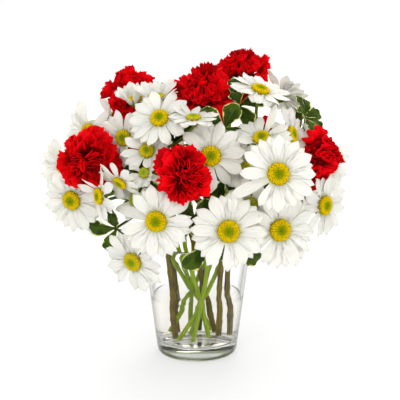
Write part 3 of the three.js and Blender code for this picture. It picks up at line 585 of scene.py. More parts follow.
class Paint:
    """A material of nodes around one Principled shader."""

    def __init__(self, name, roughness, **sockets):
        self.material = bpy.data.materials.new(name)
        self.material.use_nodes = True
        self.tree = self.material.node_tree
        self.shader = self.tree.nodes["Principled BSDF"]
        for socket, value in {"Roughness": roughness, **sockets}.items():
            self.shader.inputs[socket.replace("_", " ")].default_value = value

    def node(self, kind, inputs, **settings):
        node = self.tree.nodes.new("ShaderNode" + kind)
        for key, value in settings.items():
            setattr(node, key, value)
        for key, value in inputs.items():
            if isinstance(value, bpy.types.NodeSocket):
                self.tree.links.new(value, node.inputs[key])
            else:
                node.inputs[key].default_value = value
        return node

    def feed(self, socket, value):
        self.tree.links.new(value, self.shader.inputs[socket])

    def place(self):
        return self.node("TexCoord", {}).outputs["Object"]

    def surface(self, across=1, along=1):
        uv = self.node("UVMap", {}, uv_map="surface").outputs["UV"]
        return self.node("Mapping", {"Vector": uv, "Scale": (across, along, 1)}).outputs["Vector"]

    def parts(self, vector):
        return self.node("SeparateXYZ", {0: vector}).outputs[:]

    def tint(self):
        return self.node("Attribute", {}, attribute_name="tint").outputs["Fac"]

    def noise(self, vector, scale, detail, rough=0.5):
        inputs = {"Vector": vector, "Scale": scale, "Detail": detail, "Roughness": rough}
        return self.node("TexNoise", inputs).outputs["Fac"]

    def math(self, kind, a, b=0.0, clamp=False):
        return self.node("Math", {0: a, 1: b}, operation=kind, use_clamp=clamp).outputs[0]

    def span(self, value, low, high, to_low=0.0, to_high=1.0):
        """A smooth step of the value between low and high."""
        inputs = {"Value": value, "From Min": low, "From Max": high, "To Min": to_low, "To Max": to_high}
        return self.node("MapRange", inputs, interpolation_type="SMOOTHSTEP").outputs["Result"]

    def ramp(self, value, *stops):
        node = self.node("ValToRGB", {"Fac": value})
        elements = node.color_ramp.elements
        while len(elements) < len(stops):
            elements.new(0.5)
        for element, (position, colour) in zip(elements, stops):
            element.position = position
            element.color = (*colour, 1)
        return node.outputs["Color"]

    def mix(self, share, a, b):
        a, b = (c if isinstance(c, bpy.types.NodeSocket) else (*c, 1) for c in (a, b))
        return self.node("Mix", {0: share, 6: a, 7: b}, data_type="RGBA").outputs[2]

    def wash(self, body, value, low, high, share, colour):
        """The body with a colour over it, by this share at high."""
        return self.mix(self.span(value, low, high, 0, share), body, colour)

    def absorb(self, colour, density):
        node = self.node("VolumeAbsorption", {"Color": (*colour, 1), "Density": density})
        self.tree.links.new(node.outputs["Volume"], self.tree.nodes["Material Output"].inputs["Volume"])

    def done(self, colour, height=None, distance=0.0, strength=1.0):
        """The material with this base colour, and a bump if a height is given."""
        self.feed("Base Color", colour)
        if height is not None:
            inputs = {"Height": height, "Distance": distance, "Strength": strength}
            self.feed("Normal", self.node("Bump", inputs).outputs["Normal"])
        return self.material


def daisy_white():
    p = Paint(
        "daisy_white", 0.55, Specular_IOR_Level=0.25,
        Subsurface_Weight=0.5, Subsurface_Scale=0.003, Subsurface_Radius=(1, 0.95, 0.8),
    )
    _, along, _ = p.parts(p.surface())
    streak = p.noise(p.surface(26, 1.3), 1, 2)
    cloud = p.noise(p.place(), 55, 2)
    body = p.mix(p.span(streak, 0.35, 0.7), (0.95, 0.935, 0.82), (0.83, 0.81, 0.67))
    body = p.wash(body, p.tint(), 0.75, 1.0, 0.35, (0.90, 0.87, 0.83))
    body = p.wash(body, cloud, 0.45, 0.75, 0.4, (0.80, 0.80, 0.70))
    body = p.wash(body, along, 0.20, 0.0, 0.6, (0.66, 0.70, 0.40))
    return p.done(body, streak, 0.0009)


def daisy_disc():
    """Green to yellow from the middle out, by how ripe the disc is, with painted shade low down between the
    florets and in the hollows of the open ones.
    """
    p = Paint("daisy_disc", 0.85, Specular_IOR_Level=0.02)
    speck = p.noise(p.place(), 900, 2)
    radius, height, _ = p.parts(p.surface())
    place = p.math("ADD", radius, p.span(speck, 0.3, 0.7, -0.06, 0.06))
    old = p.ramp(
        place, (0.0, (0.16, 0.27, 0.002)), (0.36, (0.27, 0.33, 0.002)), (0.58, (0.72, 0.52, 0.001)),
        (0.85, (0.92, 0.63, 0.001)), (1.0, (0.60, 0.42, 0.001)),
    )
    young = p.ramp(place, (0.0, (0.22, 0.38, 0.02)), (0.5, (0.38, 0.50, 0.03)), (1.0, (0.62, 0.55, 0.03)))
    # Painted shade: dark olive where the surface v is low, at the foot of the florets and on the dome
    # between them.
    body = p.wash(p.mix(p.tint(), young, old), height, 0.55, 0.0, 0.72, (0.12, 0.09, 0.001))
    return p.done(body, speck, 0.0002, 0.6)


def carnation_red():
    """Painted shade: each petal dark at its root, deep in the head, and bright red at its edge."""
    p = Paint(
        "carnation_red", 0.7, Sheen_Weight=0.015, Sheen_Roughness=0.4, Sheen_Tint=(1, 0.25, 0.2, 1),
        Specular_IOR_Level=0.04,
    )
    _, along, _ = p.parts(p.surface())
    tint = p.tint()
    vein = p.noise(p.surface(44, 2.4), 1, 2)
    cloud = p.noise(p.place(), 140, 2)
    # Painted shade: the ramp darkens each petal from its edge in to its root, deep in the head.
    body = p.ramp(
        along, (0.0, (0.025, 0.0002, 0.0006)), (0.5, (0.24, 0.0003, 0.0010)),
        (0.74, (0.78, 0.0006, 0.0024)), (1.0, (0.90, 0.0012, 0.006)),
    )
    body = p.wash(body, cloud, 0.44, 0.70, 0.55, (0.26, 0.0006, 0.002))
    body = p.wash(body, vein, 0.45, 0.75, 0.35, (0.22, 0.0008, 0.002))
    body = p.wash(body, tint, 0.40, 0.0, 0.65, (0.24, 0.0005, 0.002))
    body = p.wash(body, tint, 0.6, 1.0, 0.5, (1.0, 0.005, 0.014))
    return p.done(body, vein, 0.0005, 0.8)


def stem_green():
    p = Paint("stem_green", 0.5, Specular_IOR_Level=0.12)
    fibre = p.noise(p.surface(22, 5), 1, 3)
    cloud = p.noise(p.place(), 60, 3)
    body = p.mix(p.span(fibre, 0.35, 0.68), (0.18, 0.34, 0.001), (0.52, 0.68, 0.003))
    body = p.wash(body, cloud, 0.4, 0.7, 0.45, (0.40, 0.52, 0.03))
    body = p.wash(body, p.tint(), 0.5, 0.0, 0.6, (0.30, 0.44, 0.04))
    return p.done(body, fibre, 0.0004, 0.6)


def stem_brown():
    """Brown and blotched below, fresh green above."""
    p = Paint("stem_brown", 0.7, Specular_IOR_Level=0.03)
    fibre = p.noise(p.surface(30, 4), 1, 4, 0.6)
    blotch = p.noise(p.place(), 75, 4)
    old = p.mix(p.span(fibre, 0.35, 0.65), (0.09, 0.065, 0.002), (0.38, 0.29, 0.004))
    old = p.wash(old, blotch, 0.48, 0.66, 0.7, (0.16, 0.055, 0.010))
    fresh = p.mix(p.span(fibre, 0.35, 0.65), (0.055, 0.10, 0.012), (0.14, 0.24, 0.03))
    _, _, height = p.parts(p.place())
    level = p.math("ADD", p.span(height, 0.105, 0.17), p.span(blotch, 0.3, 0.7, -0.25, 0.25), clamp=True)
    return p.done(p.mix(level, old, fresh), fibre, 0.0006, 0.8)


def leaf_green():
    """Dark green with paler veins and a cream margin, and bark where the tint is 1."""
    p = Paint("leaf_green", 0.55, Specular_IOR_Level=0.05)
    across, along, _ = p.parts(p.surface())
    off = p.math("MULTIPLY", p.math("ABSOLUTE", p.math("SUBTRACT", across, 0.5)), 2.0)
    cloud = p.noise(p.place(), 210, 3)
    body = p.span(p.noise(p.place(), 90, 3), 0.35, 0.68)
    body = p.mix(body, (0.016, 0.036, 0.002), (0.062, 0.105, 0.008))
    slant = p.math("SUBTRACT", p.math("MULTIPLY", along, 11.0), p.math("MULTIPLY", off, 3.2))
    side_vein = p.span(p.math("PINGPONG", slant, 0.5), 0.09, 0.0, 0, 0.6)
    vein = p.math("MAXIMUM", side_vein, p.span(off, 0.055, 0.0, 0, 0.9))
    body = p.mix(p.math("MULTIPLY", vein, 0.55), body, (0.12, 0.19, 0.045))
    edge = p.math("MAXIMUM", off, p.span(along, 0.80, 1.0))
    edge = p.math("ADD", edge, p.span(cloud, 0.3, 0.7, -0.13, 0.10))
    body = p.mix(p.span(edge, 0.84, 0.93), body, (0.66, 0.66, 0.24))
    bark = p.mix(cloud, (0.05, 0.06, 0.008), (0.16, 0.17, 0.02))
    return p.done(p.mix(p.span(p.tint(), 0.85, 0.95), body, bark), vein, 0.0004, -0.8)


def clear_glass():
    """Clear where it faces the eye, with painted dark reflection at its grey edges, and a painted olive
    reflection of the stems in a band just above its foot.
    """
    p = Paint("clear_glass", 0.0, IOR=1.45, Specular_Tint=(0.35, 0.35, 0.35, 1))
    ripple = p.noise(p.place(), 9, 1)
    body = p.mix(p.span(ripple, 0.3, 0.7, 0, 0.3), (1.0, 1.0, 1.0), (0.985, 0.995, 0.99))
    # Painted reflection: seen at a slant the glass turns dark grey and lets less light through.
    facing = p.node("LayerWeight", {"Blend": 0.5}).outputs["Facing"]
    body = p.wash(body, facing, 0.40, 0.95, 0.95, (0.17, 0.18, 0.14))
    p.feed("Transmission Weight", p.span(facing, 0.55, 1.0, 1.0, 0.25))
    _, _, height = p.parts(p.place())
    # Painted reflection of the stems: an olive band just above the foot, clear again in the bottom 1.2 to 3
    # mm.
    foot = p.wash(body, height, 0.0074, 0.0050, 0.92, (0.11, 0.14, 0.03))
    p.absorb((0.72, 0.74, 0.66), 7.0)
    return p.done(p.mix(p.span(height, 0.0030, 0.0012), foot, body), ripple, 0.0006, 0.15)


def clear_water():
    p = Paint("clear_water", 0.0, Transmission_Weight=1.0, IOR=1.09, Specular_Tint=(0.1, 0.1, 0.1, 1))
    ripple = p.noise(p.place(), 14, 1)
    p.absorb((0.60, 0.52, 0.30), 2.6)
    return p.done(p.mix(p.span(ripple, 0.3, 0.7, 0, 0.3), (1.0, 0.985, 0.96), (0.99, 0.975, 0.94)))


PAINTS = {
    "glass": clear_glass(),
    "water": clear_water(),
    "carnation_red": carnation_red(),
    "daisy_white": daisy_white(),
    "daisy_yellow": daisy_disc(),
    "stem_green": stem_green(),
    "stem_brown": stem_brown(),
    "leaf_green": leaf_green(),
}

# ---- sheets

SHEET_COLS = np.array([-1, -0.86, -0.6, -0.32, 0, 0.32, 0.6, 0.86, 1])
SCALE_COLS = np.linspace(-1, 1, 5)


def blade_parts(blade):
    """Middle of the root, shoulder and tip, the three directions across, and the shoulder's half width."""
    a, b, c, d = blade["end"][::2]
    root = blade["root"]
    points = [between(*root, 0.5), between(a, d, 0.5), between(b, c, 0.5)]
    sides = [unit(root[1] - root[0]), unit(d - a), unit(c - b)]
    return points, sides, np.linalg.norm(d - a) / 2


def bent(points, t):
    """A smooth line through three points at 0, m and 1, and its direction."""
    root, shoulder, tip = points
    first, second = np.linalg.norm(shoulder - root), np.linalg.norm(tip - shoulder)
    m = first / (first + second)
    t = np.asarray(t)[..., None]
    weights = [(t - m) * (t - 1) / m, t * (t - 1) / (m * (m - 1)), t * (t - m) / (1 - m)]
    slopes = [(2 * t - m - 1) / m, (2 * t - 1) / (m * (m - 1)), (2 * t - m) / (1 - m)]
    at = sum(w * p for w, p in zip(weights, points))
    return at, unit(sum(s * p for s, p in zip(slopes, points))), m


def outline(t, root, widest, loss, fall, rise=1.0, bow=0.5):
    """The width along a sheet: a share at its root, 1 where it is widest, and less towards its tip."""
    rising = root + (1 - root) * smooth(t / widest) ** rise
    falling = 1 - loss * (np.clip(t - widest, 0, 1) / (1 - widest)) ** fall
    return np.where(t < widest, rising, np.clip(falling, 0, 1) ** bow)


def sheet(body, points, sides, half, rows, cols, reach, relief, thick, tint):
    """A bent sheet. Half is its half width at each row, reach shapes its tip and relief lifts its face."""
    t = rows[:, None] - (1 - reach(cols)) * np.clip(rows, 0, 1)[:, None] ** 4
    at, ahead, m = bent(points, t)
    near = np.clip(t / m, 0, 1)[..., None]
    far = np.clip((t - m) / (1 - m), 0, 1)[..., None]
    side = unit(between(between(sides[0], sides[1], near), sides[2], far))
    normal = unit(np.cross(ahead, side))
    wide = half[:, None] * cols
    grid = at + side * wide[..., None] + normal * relief(rows[:, None], cols[None, :])[..., None]
    body.slab(grid, thick, rows, cols, tint)


def small_scale(body, points, out, side, half, rows, lift, thick, tint):
    """A small pointed scale through three points, with its half width and the lift of its face given."""
    wide = half[:, None] * SCALE_COLS
    grid = bent(points, rows)[0][:, None, :] + side * wide[..., None] + out * lift[..., None]
    body.slab(grid[:, ::-1], thick, rows, SCALE_COLS, tint)


# ---- daisies


def petal(body, points, sides, half, seed):
    d = draws(seed, 12)
    blunt = 0.26 + 0.16 * d[2]
    notch = 0.004 + 0.020 * d[3] ** 2
    channel = half * (0.20 + 0.12 * d[4])
    wave = (d[5] - 0.5) * 2.0
    twist = (d[7] - 0.5) * 0.55
    crown = half * (0.10 + 0.16 * d[10])
    sway = (d[11] - 0.5) * 2.4

    def reach(x):
        return 1 - 0.10 * x**2 - notch * np.exp(-(((np.abs(x) - 0.36) / 0.14) ** 2))

    def relief(t, x):
        groove = -0.34 * np.exp(-(((np.abs(x) - 0.34) / 0.14) ** 2)) * smooth((1.1 - t) / 0.5)
        cup = channel * x * x * (1 - smooth(t / 0.55)) - crown * x * x * smooth(t / 0.6)
        edge = wave * x * np.abs(x) * np.sin(2 * np.pi * (t * 1.1 + d[6])) * smooth(t)
        return groove + cup + edge + twist * half * x * smooth(t)

    rows = np.concatenate([[-0.14], np.linspace(0, 0.8, 8), [0.88, 0.95, 1.0]])
    points = [points[0], points[1] + sides[1] * sway, points[2]]
    wide = half * outline(rows, 0.44 + 0.10 * d[1], 0.50 + 0.12 * d[9], 1 - blunt**2, 2.3, rise=0.9)
    sheet(body, points, sides, wide, rows, SHEET_COLS, reach, relief, 0.42, d[8])


def daisy_petals(body, daisy):
    """A petal for each that the solid has, and under most gaps between two of them one more."""
    axis, number, blades = daisy.axis, daisy.number, daisy.blades
    parts = [blade_parts(b) if b else None for b in blades]
    for k, (blade, part) in enumerate(zip(blades, parts)):
        if not blade:
            continue
        (root, shoulder, tip), sides, half = part
        if blade["reach"]:  # laid on a petal of the next daisy
            target = blade["reach"]["end"]
            over = unit(np.cross(target[2] - target[0], target[6] - target[0]))
            tip = tip + over * math.copysign(1.3, np.dot(root - tip, over))
        elif blade["share"] < 1:
            half = half * (0.55 + 0.45 * blade["share"])
        lift = axis * (0.3 if k % 2 else -0.2)
        tip = tip + unit(tip - shoulder) * 0.4 + axis * (draw(number, 380 + k) - 0.5) * 2.4
        half = half * (0.86 + 0.16 * draw(number, 360 + k))
        petal(body, [root - axis * 0.2, shoulder + lift, tip + lift], sides, half, number * 41 + k)
    for k in range(daisy.count):
        after = (k + 1) % daisy.count
        one, two = parts[k], parts[after]
        if not one or not two or blades[k]["reach"] or blades[after]["reach"]:
            continue
        if draw(number, 300 + k) > 0.8 or np.linalg.norm(one[0][2] - two[0][2]) > daisy.width * 0.34:
            continue
        root, shoulder, tip = (
            between(a, b, 0.5) - axis * down for a, b, down in zip(one[0], two[0], (0.9, 1.3, 1.6))
        )
        tip = between(shoulder, tip, 0.85 + 0.4 * draw(number, 340 + k))
        sides = [unit(a + b) for a, b in zip(one[1], two[1])]
        half = min(one[2], two[2]) * (0.78 + 0.16 * draw(number, 320 + k))
        petal(body, [root, shoulder, tip], sides, half, number * 41 + 20 + k)


# Florets: width of the top, height, height of the middle as a share of it, and that middle's v, which sets
# how much painted shade it gets.
OPEN_FLORET = (0.95, 0.95, 0.5, 0.35)
CLOSED_FLORET = (0.62, 0.55, 1.25, 1.0)
GOLDEN_ANGLE = 2.39996
DOME_SHARES = np.array([0, 0.25, 0.5, 0.75, 0.9, 0.98, 1.0])
DOME_HEIGHTS = np.array([0.37, 0.40, 0.42, 0.375, 0.29, 0.17, 0.04])


def daisy_disc_body(daisy):
    """A domed disc of florets: open ones outside, closed ones in the middle."""
    body = Body()
    r, number = daisy.disc, daisy.number

    def level(share):
        return np.interp(share, DOME_SHARES, DOME_HEIGHTS)

    def place(share, turn, out=0.0):
        tilt = np.arctan((level(share + 0.03) - level(share - 0.03)) / 0.06)
        spoke = radial(daisy.right, daisy.up, turn)
        normal = daisy.axis * np.cos(tilt) - spoke * np.sin(tilt)
        return daisy.centre + spoke * share * r + daisy.axis * level(share) * r + normal * out

    shares = np.array([1.0, 0.98, 0.9, 0.7, 0.4, 0.12])
    points = np.stack([place(share, circle(24)) for share in shares])
    points[0] -= daisy.axis * 0.1
    ripe = YOUNG.get(number, 0.8 + 0.2 * draw(number, 9))
    # The dome has v 0, so it takes the disc's full painted shade between the florets.
    body.skin(points, lattice(shares, np.zeros(24))[..., ::-1], ripe)
    count = int(150 * (r / 10) ** 1.2)
    for i in range(count):
        share = math.sqrt((i + 0.5) / count)
        angle = i * GOLDEN_ANGLE + 0.12 * (draw(number, 500 + i) - 0.5)
        centre = place(share * 0.965, angle)
        normal = unit(place(share * 0.965, angle, 1.0) - centre)
        side = unit(np.cross(normal, daisy.right + daisy.up * 0.3))
        size = r * math.sqrt(math.pi / count) * 0.50 * (0.9 + 0.25 * draw(number, 700 + i))
        is_open = share > 0.45 * ripe + 0.42 * (1 - ripe) + 0.1 * draw(number, 900 + i)
        wide, tall, middle, painted_shade_v = OPEN_FLORET if is_open else CLOSED_FLORET
        tall *= (0.8 + 0.4 * draw(number, 1100 + i)) * r / 10
        spokes = radial(side, np.cross(normal, side), circle(5) + i) * size
        walls = np.stack([centre + spokes - normal * 0.2, centre + spokes * wide + normal * tall])
        # v runs from 0 at a floret's foot, in full painted shade, to 1 at its top.
        uv = [[share, 0]] * 5 + [[share, 1]] * 5
        body.skin(walls, uv, ripe, high=(centre + normal * tall * middle, (share, painted_shade_v)))
    return body


def daisy_calyx(body, daisy):
    """The green cup of pointed scales behind the petals."""
    back, axis, r = daisy.back, daisy.axis, daisy.disc * 0.74
    cup = [(1.35, -7.4), (1.9, -6.0), (r * 0.62, -4.6), (r * 0.88, -3.0), (r * 1.0, -1.4), (r * 0.98, -0.2)]
    levels = np.array(cup)[:, 1] / 100
    body.skin(turned(back, (daisy.right, daisy.up, axis), cup, 36, 12, 0.05), levels, 0.7)
    rows = np.array([0, 0.35, 0.7, 1.0])
    half = np.array([0.75, 1.0, 0.8, 0.12]) * r * 0.26
    lift = 0.22 - 0.35 * SCALE_COLS[None, :] ** 2
    for layer, (low, high, foot, top) in enumerate(((-5.2, -1.6, 0.52, 0.92), (-3.6, 0.1, 0.80, 1.04))):
        for k in range(12):
            angle = 2 * math.pi * (k + 0.5 * layer) / 12 + 0.1 * draw(daisy.number, 60 + k)
            out = radial(daisy.right, daisy.up, angle)
            places = ((low, foot), (between(low, high, 0.6), top + 0.03), (high, top + 0.10))
            points = [back + axis * height + out * r * share for height, share in places]
            small_scale(body, points, out, np.cross(axis, out), half, rows, lift, 0.35, 0.75)


# ---- carnations

# Layers: elevation in degrees, petals, root radius and height, share of the reach of its first petal.
LAYERS = [
    (-8, 6, 7.2, 0.4, 1.0), (5, 7, 7.0, 1.6, 0.97), (17, 7, 6.6, 2.8, 0.95), (29, 7, 6.0, 4.2, 0.96),
    (41, 7, 5.2, 5.6, 0.92), (53, 6, 4.4, 7.0, 0.94), (65, 6, 3.4, 8.2, 0.88), (79, 5, 2.2, 9.2, 0.86),
]
CORE = [(7.0, 0.2), (9.5, 1.5), (10.5, 5), (9.5, 9), (7.0, 13), (3.5, 16)]
RUFFLE_COLS = np.linspace(-1, 1, 27)
RUFFLE_ROWS = np.array([0, 0.2, 0.38, 0.54, 0.68, 0.8, 0.9, 0.96, 1.0])
PHASE = 6.28  # the widest phase of a wave, about one turn


def surface_of(pieces):
    """The faces of these pieces, to tell how near a point lies to them."""
    points, faces = [], []
    for piece in pieces:
        start = len(points)
        points += [v.co[:] for v in piece.data.vertices]
        faces += [[i + start for i in face.vertices] for face in piece.data.polygons]
    return BVHTree.FromPolygons(points, faces)


def clear_of(grid, surface, gap):
    return all(surface.find_nearest(Vector(p * MM), gap * MM)[0] is None for p in grid.reshape(-1, 3))


def ruffled_petal(body, base, axes, layer, middle, long, seed, neighbours):
    """A toothed petal with deep folds, made shorter where it would cut into a neighbour.

    Returns the share of its length that it keeps.
    """
    right, up, axis = axes
    lift, petals, root_radius, root_height, _ = layer
    d = draws(seed, 15)
    loose = smooth(lift / 50)
    middle += (d[1] - 0.5) * (40 + 120 * loose)
    half = min(360 / petals * (0.56 + 0.20 * d[2]), 46)
    tilt = math.radians(lift - 5 * loose + (d[3] - 0.5) * (18 + 36 * loose))
    base = base + (right * (d[13] - 0.5) + up * (d[14] - 0.5)) * 14 * loose
    u, v = RUFFLE_ROWS[:, None], RUFFLE_COLS[None, :]
    turn = np.pi * (1.5 + 1.3 * d[5]) * v + PHASE * d[6]
    fold = np.sin(turn) + 0.45 * np.sin(2.3 * turn + PHASE * d[7]) + 0.16 * np.sin(6.1 * turn + u * 3)
    tooth = np.where(np.arange(v.size) % 2 == 0, 1.0, -1.0) * (0.35 + np.abs(np.sin(v * 37 + seed)))
    edge = 1 + 0.034 * tooth * smooth((u - 0.9) / 0.1) - 0.10 * np.abs(v) ** 3
    edge = edge + 0.06 * np.sin(v * 4.1 + PHASE * d[8]) * u
    grow = smooth((u - 0.12) / 0.88) ** 1.15
    angle = np.radians(middle + v * half * (0.30 + 0.70 * smooth(u / 0.75)))
    spokes = radial(right, up, angle + 0.12 * np.cos(turn) * grow * (0.5 + 0.6 * d[9]))
    curl = math.radians(18 - 30 * smooth(lift / 80)) * (0.4 - u) + (d[12] - 0.5) * 0.5 * u * u
    bow = tilt + math.radians(14) * (1 - u) * smooth((70 - lift) / 60) + curl
    ruffle = fold * grow * (3.3 + 2.6 * d[10])
    for share in (1, 0.9, 0.8, 0.7, 0.6):
        run = long * (0.79 + 0.23 * d[4]) * share * u * edge
        radius = root_radius * (0.55 + 0.45 * np.minimum(u * 4, 1)) + run * np.cos(bow)
        radius = np.maximum(radius - ruffle * math.sin(tilt), 0.4)
        height = root_height + run * np.sin(bow) + ruffle * math.cos(tilt)
        grid = base + spokes * radius[..., None] + axis * height[..., None]
        if clear_of(grid[4:], neighbours, 0.9):
            break
    body.slab(grid, 0.4, RUFFLE_ROWS, RUFFLE_COLS, d[11])
    return share


def carnation_body(number, neighbours):
    """Petals in layers, from nearly flat outside to upright in the middle, round a plain core."""
    *centre, azimuth, elevation, width = CARNATIONS[number - 1]
    axes = basis(azimuth, elevation)
    base = vec(*centre) - axes[2] * CARNATION_SINK
    body = Body()
    for i, layer in enumerate(LAYERS):
        _, petals, _, _, share = layer
        for k in range(petals):  # each starts from the share that the one beside it keeps
            middle = 360 * (k + 0.5 * (i % 2)) / petals + draw(number, 5) * 360
            long, seed = (width / 2 - 7.5) * share, number * 97 + i * 11 + k
            share = ruffled_petal(body, base, axes, layer, middle, long, seed, neighbours)
    # The core has v 0, so it takes the darkest painted shade of the petal roots.
    body.skin(turned(base, axes, CORE, 20), np.zeros((len(CORE), 20, 2)), 0.2)
    return body


def carnation_calyx(body, stem):
    """The ribbed green tube under a carnation, with five teeth and small scales at its foot."""
    axis, neck = stem["axis"], stem["neck"]
    right = unit(np.cross(axis, vec(0.3, 0.1, 1)))
    up = np.cross(axis, right)
    shares = np.array([-0.02, 0.04, 0.12, 0.3, 0.6, 0.85, 1.0]) * CALYX_LENGTH
    tube = list(zip((2.2, 3.0, 4.3, 5.0, 5.6, 5.5, 5.2), shares))
    body.skin(turned(neck, (right, up, axis), tube, 30, 10, 0.02), shares / 100, 0.35)
    rows = np.array([0, 0.4, 0.75, 1.0])
    teeth, scales = (5, 0.80, 1.10, 5.55, 6.9, 2.9), (4, 0.02, 0.30, 3.2, 5.35, 2.6)
    for count, low, high, near, far, wide in (teeth, scales):
        half = np.array([1.0, 0.95, 0.6, 0.06]) * wide
        lift = -0.20 * half[:, None] * SCALE_COLS**2
        for k in range(count):
            out = radial(right, up, 2 * math.pi * (k + 0.3) / count)
            start = neck + axis * CALYX_LENGTH * low + out * near
            end = neck + axis * CALYX_LENGTH * high + out * far
            points = [start, between(start, end, 0.55) + out * 0.3, end]
            small_scale(body, points, out, np.cross(axis, out), half, rows, lift, 0.4, 0.3)


# ---- stems and leaves

STEP = 3.0  # between the rings of a stem


def resampled(line, at, wanted):
    return np.stack([np.interp(wanted, at, line[:, i]) for i in range(3)], axis=-1)


def eased(line, step=STEP):
    """Many points along the line with its corners rounded, halfway to the smooth curve through it."""
    line = np.asarray(line, float)
    last = len(line) - 1
    count = max(4, int(run_along(line)[-1] / step))
    straight = resampled(line, np.arange(last + 1), np.linspace(0, 1, 24 * last + 1) * last)
    mixed = between(straight, through(line, 24 * last), 0.55)
    along = run_along(mixed)
    return resampled(mixed, along, np.linspace(0, along[-1], count + 1))


def swelling(run, seed, count, first, apart, spread, width):
    """How swollen a stem is along its run, at joints at uneven distances."""
    joints = [first + apart * k + spread * draw(seed, k) for k in range(count)]
    return sum(np.exp(-(((run - joint) / width) ** 2)) for joint in joints)


def woody_tube(body, line, radius, seed, tint=None):
    """A ribbed stem with leaf scars."""
    points = eased(line)
    run = np.arange(len(points)) * STEP
    radii = 1.0 + 0.05 * np.sin(run / 17 + seed) + 0.03 * np.sin(run / 5.3 + 2 * seed)
    radii = radius * (radii + 0.20 * swelling(run, seed, 12, 14, 27, 9, 2.2))
    body.tube(points, radii, 14, draw(seed, 50) if tint is None else tint, 5, 0.045, 0.15)


def jointed_tube(body, line, radius, seed):
    """A smooth stem with swollen joints."""
    points = eased(line)
    joints = swelling(np.arange(len(points)) * STEP, seed, 8, 30, 44, 8, 2.6)
    body.tube(points, radius * (1 + 0.42 * joints), 14, draw(seed, 50))


def stalk_tube(body, line, radius, seed, tint=None):
    """A slender stalk, a little thicker at its root."""
    points = eased(line, 4.0)
    radii = radius * np.linspace(1.12, 1, len(points))
    body.tube(points, radii, 8, draw(seed, 50) if tint is None else tint, 4, 0.05)


def leaf(body, points, sides, half, seed):
    """A broad leaf with a folded midrib and a gently waved edge."""
    d = draws(seed, 5)
    wave = 0.5 + 0.9 * d[1]
    fold = half * (0.14 + 0.16 * d[3])

    def reach(x):
        return 1 - 0.13 * np.abs(x) ** 1.7

    def relief(t, x):
        keel = fold * (np.abs(x) - 0.55) * smooth(t * 3) * (1 - 0.4 * t)
        ripple = wave * x**2 * np.sin(2 * np.pi * (t * 2.4 + d[2]) + (x > 0) * 1.7) * smooth(t * 1.5)
        quilt = 0.18 * np.sin(2 * np.pi * (t * 5.5 - np.abs(x) * 1.6)) * np.abs(x)
        return keel + ripple + quilt

    rows = np.linspace(0, 1, 15)
    cols = np.array([-1, -0.85, -0.6, -0.3, 0, 0.3, 0.6, 0.85, 1])
    wide = half * outline(rows, 0.16, 0.58, 0.84, 2.2)
    sheet(body, points, sides, wide, rows, cols, reach, relief, 0.5, d[4] * 0.8)


def narrow_leaf(body, root, along, side, normal):
    length = BLADE_LEAF["length"]
    tip = root + along * length + normal * length * BLADE_LEAF["rise"]

    def relief(t, x):
        return 0.9 * np.abs(x) * (1 - 0.5 * t)

    points = [root, root + along * length * 0.5, tip]
    rows = np.linspace(0, 1, 14)
    wide = BLADE_LEAF["width"] / 2 * outline(rows, 0.48, 0.5, 0.94, 1.6, bow=1)
    sheet(body, points, [side] * 3, wide, rows, SCALE_COLS, np.ones_like, relief, 0.5, 0.9)


# ---- vase and water

FLOOR_CURVE = [(0, 5), (0.5, 2.8), (2, 0.9), (4.2, 0.15)]  # height above the floor, inset from the wall
LIP = 1.5


def vase_outer(z):
    share = (z - VASE["base_height"]) / (VASE["height"] - VASE["base_height"])
    return between(VASE["base"], VASE["mouth"], share)


def inside(top, count, wider=0.0, deeper=0.0):
    """The inside of the vase, from the middle of its floor up."""
    floor, wall = VASE["floor"], VASE["wall"]
    profile = [(0, floor - 0.2 - deeper), (20, floor - 0.15 - deeper)]
    for up, inset in FLOOR_CURVE:
        z = floor + up
        profile.append((vase_outer(z) - wall - inset + wider, z - deeper if up < 1 else z))
    return profile + [(vase_outer(z) - wall + wider, z) for z in np.linspace(floor + 7, top, count)]


def vase_body():
    top, foot, base = VASE["height"], VASE["foot"], VASE["base"]
    outside = [
        (0, 0.8), (20, 0.7), (foot - 4, 0.3), (foot - 1.4, 0), (foot + 0.4, 0.05), (foot + 2.8, 0.9),
        (base - 1.5, 2.5), (base - 0.5, 5.0), (base, VASE["base_height"]),
        *((vase_outer(z), z) for z in np.linspace(12, top - 6, 10)),
    ]
    lip = [
        (vase_outer(top - LIP) + LIP * (math.sin(a) - 1), top - LIP + LIP * math.cos(a))
        for a in np.linspace(math.pi / 2, -math.pi / 2, 7)
    ]
    body = Body()
    body.lathe([*outside, *lip, *reversed(inside(top - 6, 10))], 128)
    return body


def water_body():
    """Water that reaches a little into the glass, so that no air shows between the two."""
    body = Body()
    body.lathe([*inside(WATER_LEVEL, 8, 0.12, 0.1), (30, WATER_LEVEL), (0, WATER_LEVEL)], 128)
    return body


# ---- assembly

vase_body().piece("vase_glass", "glass", "glass_vase")
water_body().piece("vase_water", "water", "water")

daisies = find_daisies()
neighbours = []
for name, numbers in PETAL_BODIES.items():
    body = Body()
    for n in numbers:
        daisy_petals(body, daisies[n])
    neighbours.append(body.piece("rays_" + name, "daisy_white", "daisy_petals_" + name))
neighbours = surface_of(neighbours)
for n, daisy in daisies.items():
    daisy_disc_body(daisy).piece(f"florets_{n}", "daisy_yellow", f"daisy_disc_{n}")
for n in range(1, len(CARNATIONS) + 1):
    carnation_body(n, neighbours).piece(f"carnation_{n}", "carnation_red", f"carnation_head_{n}")

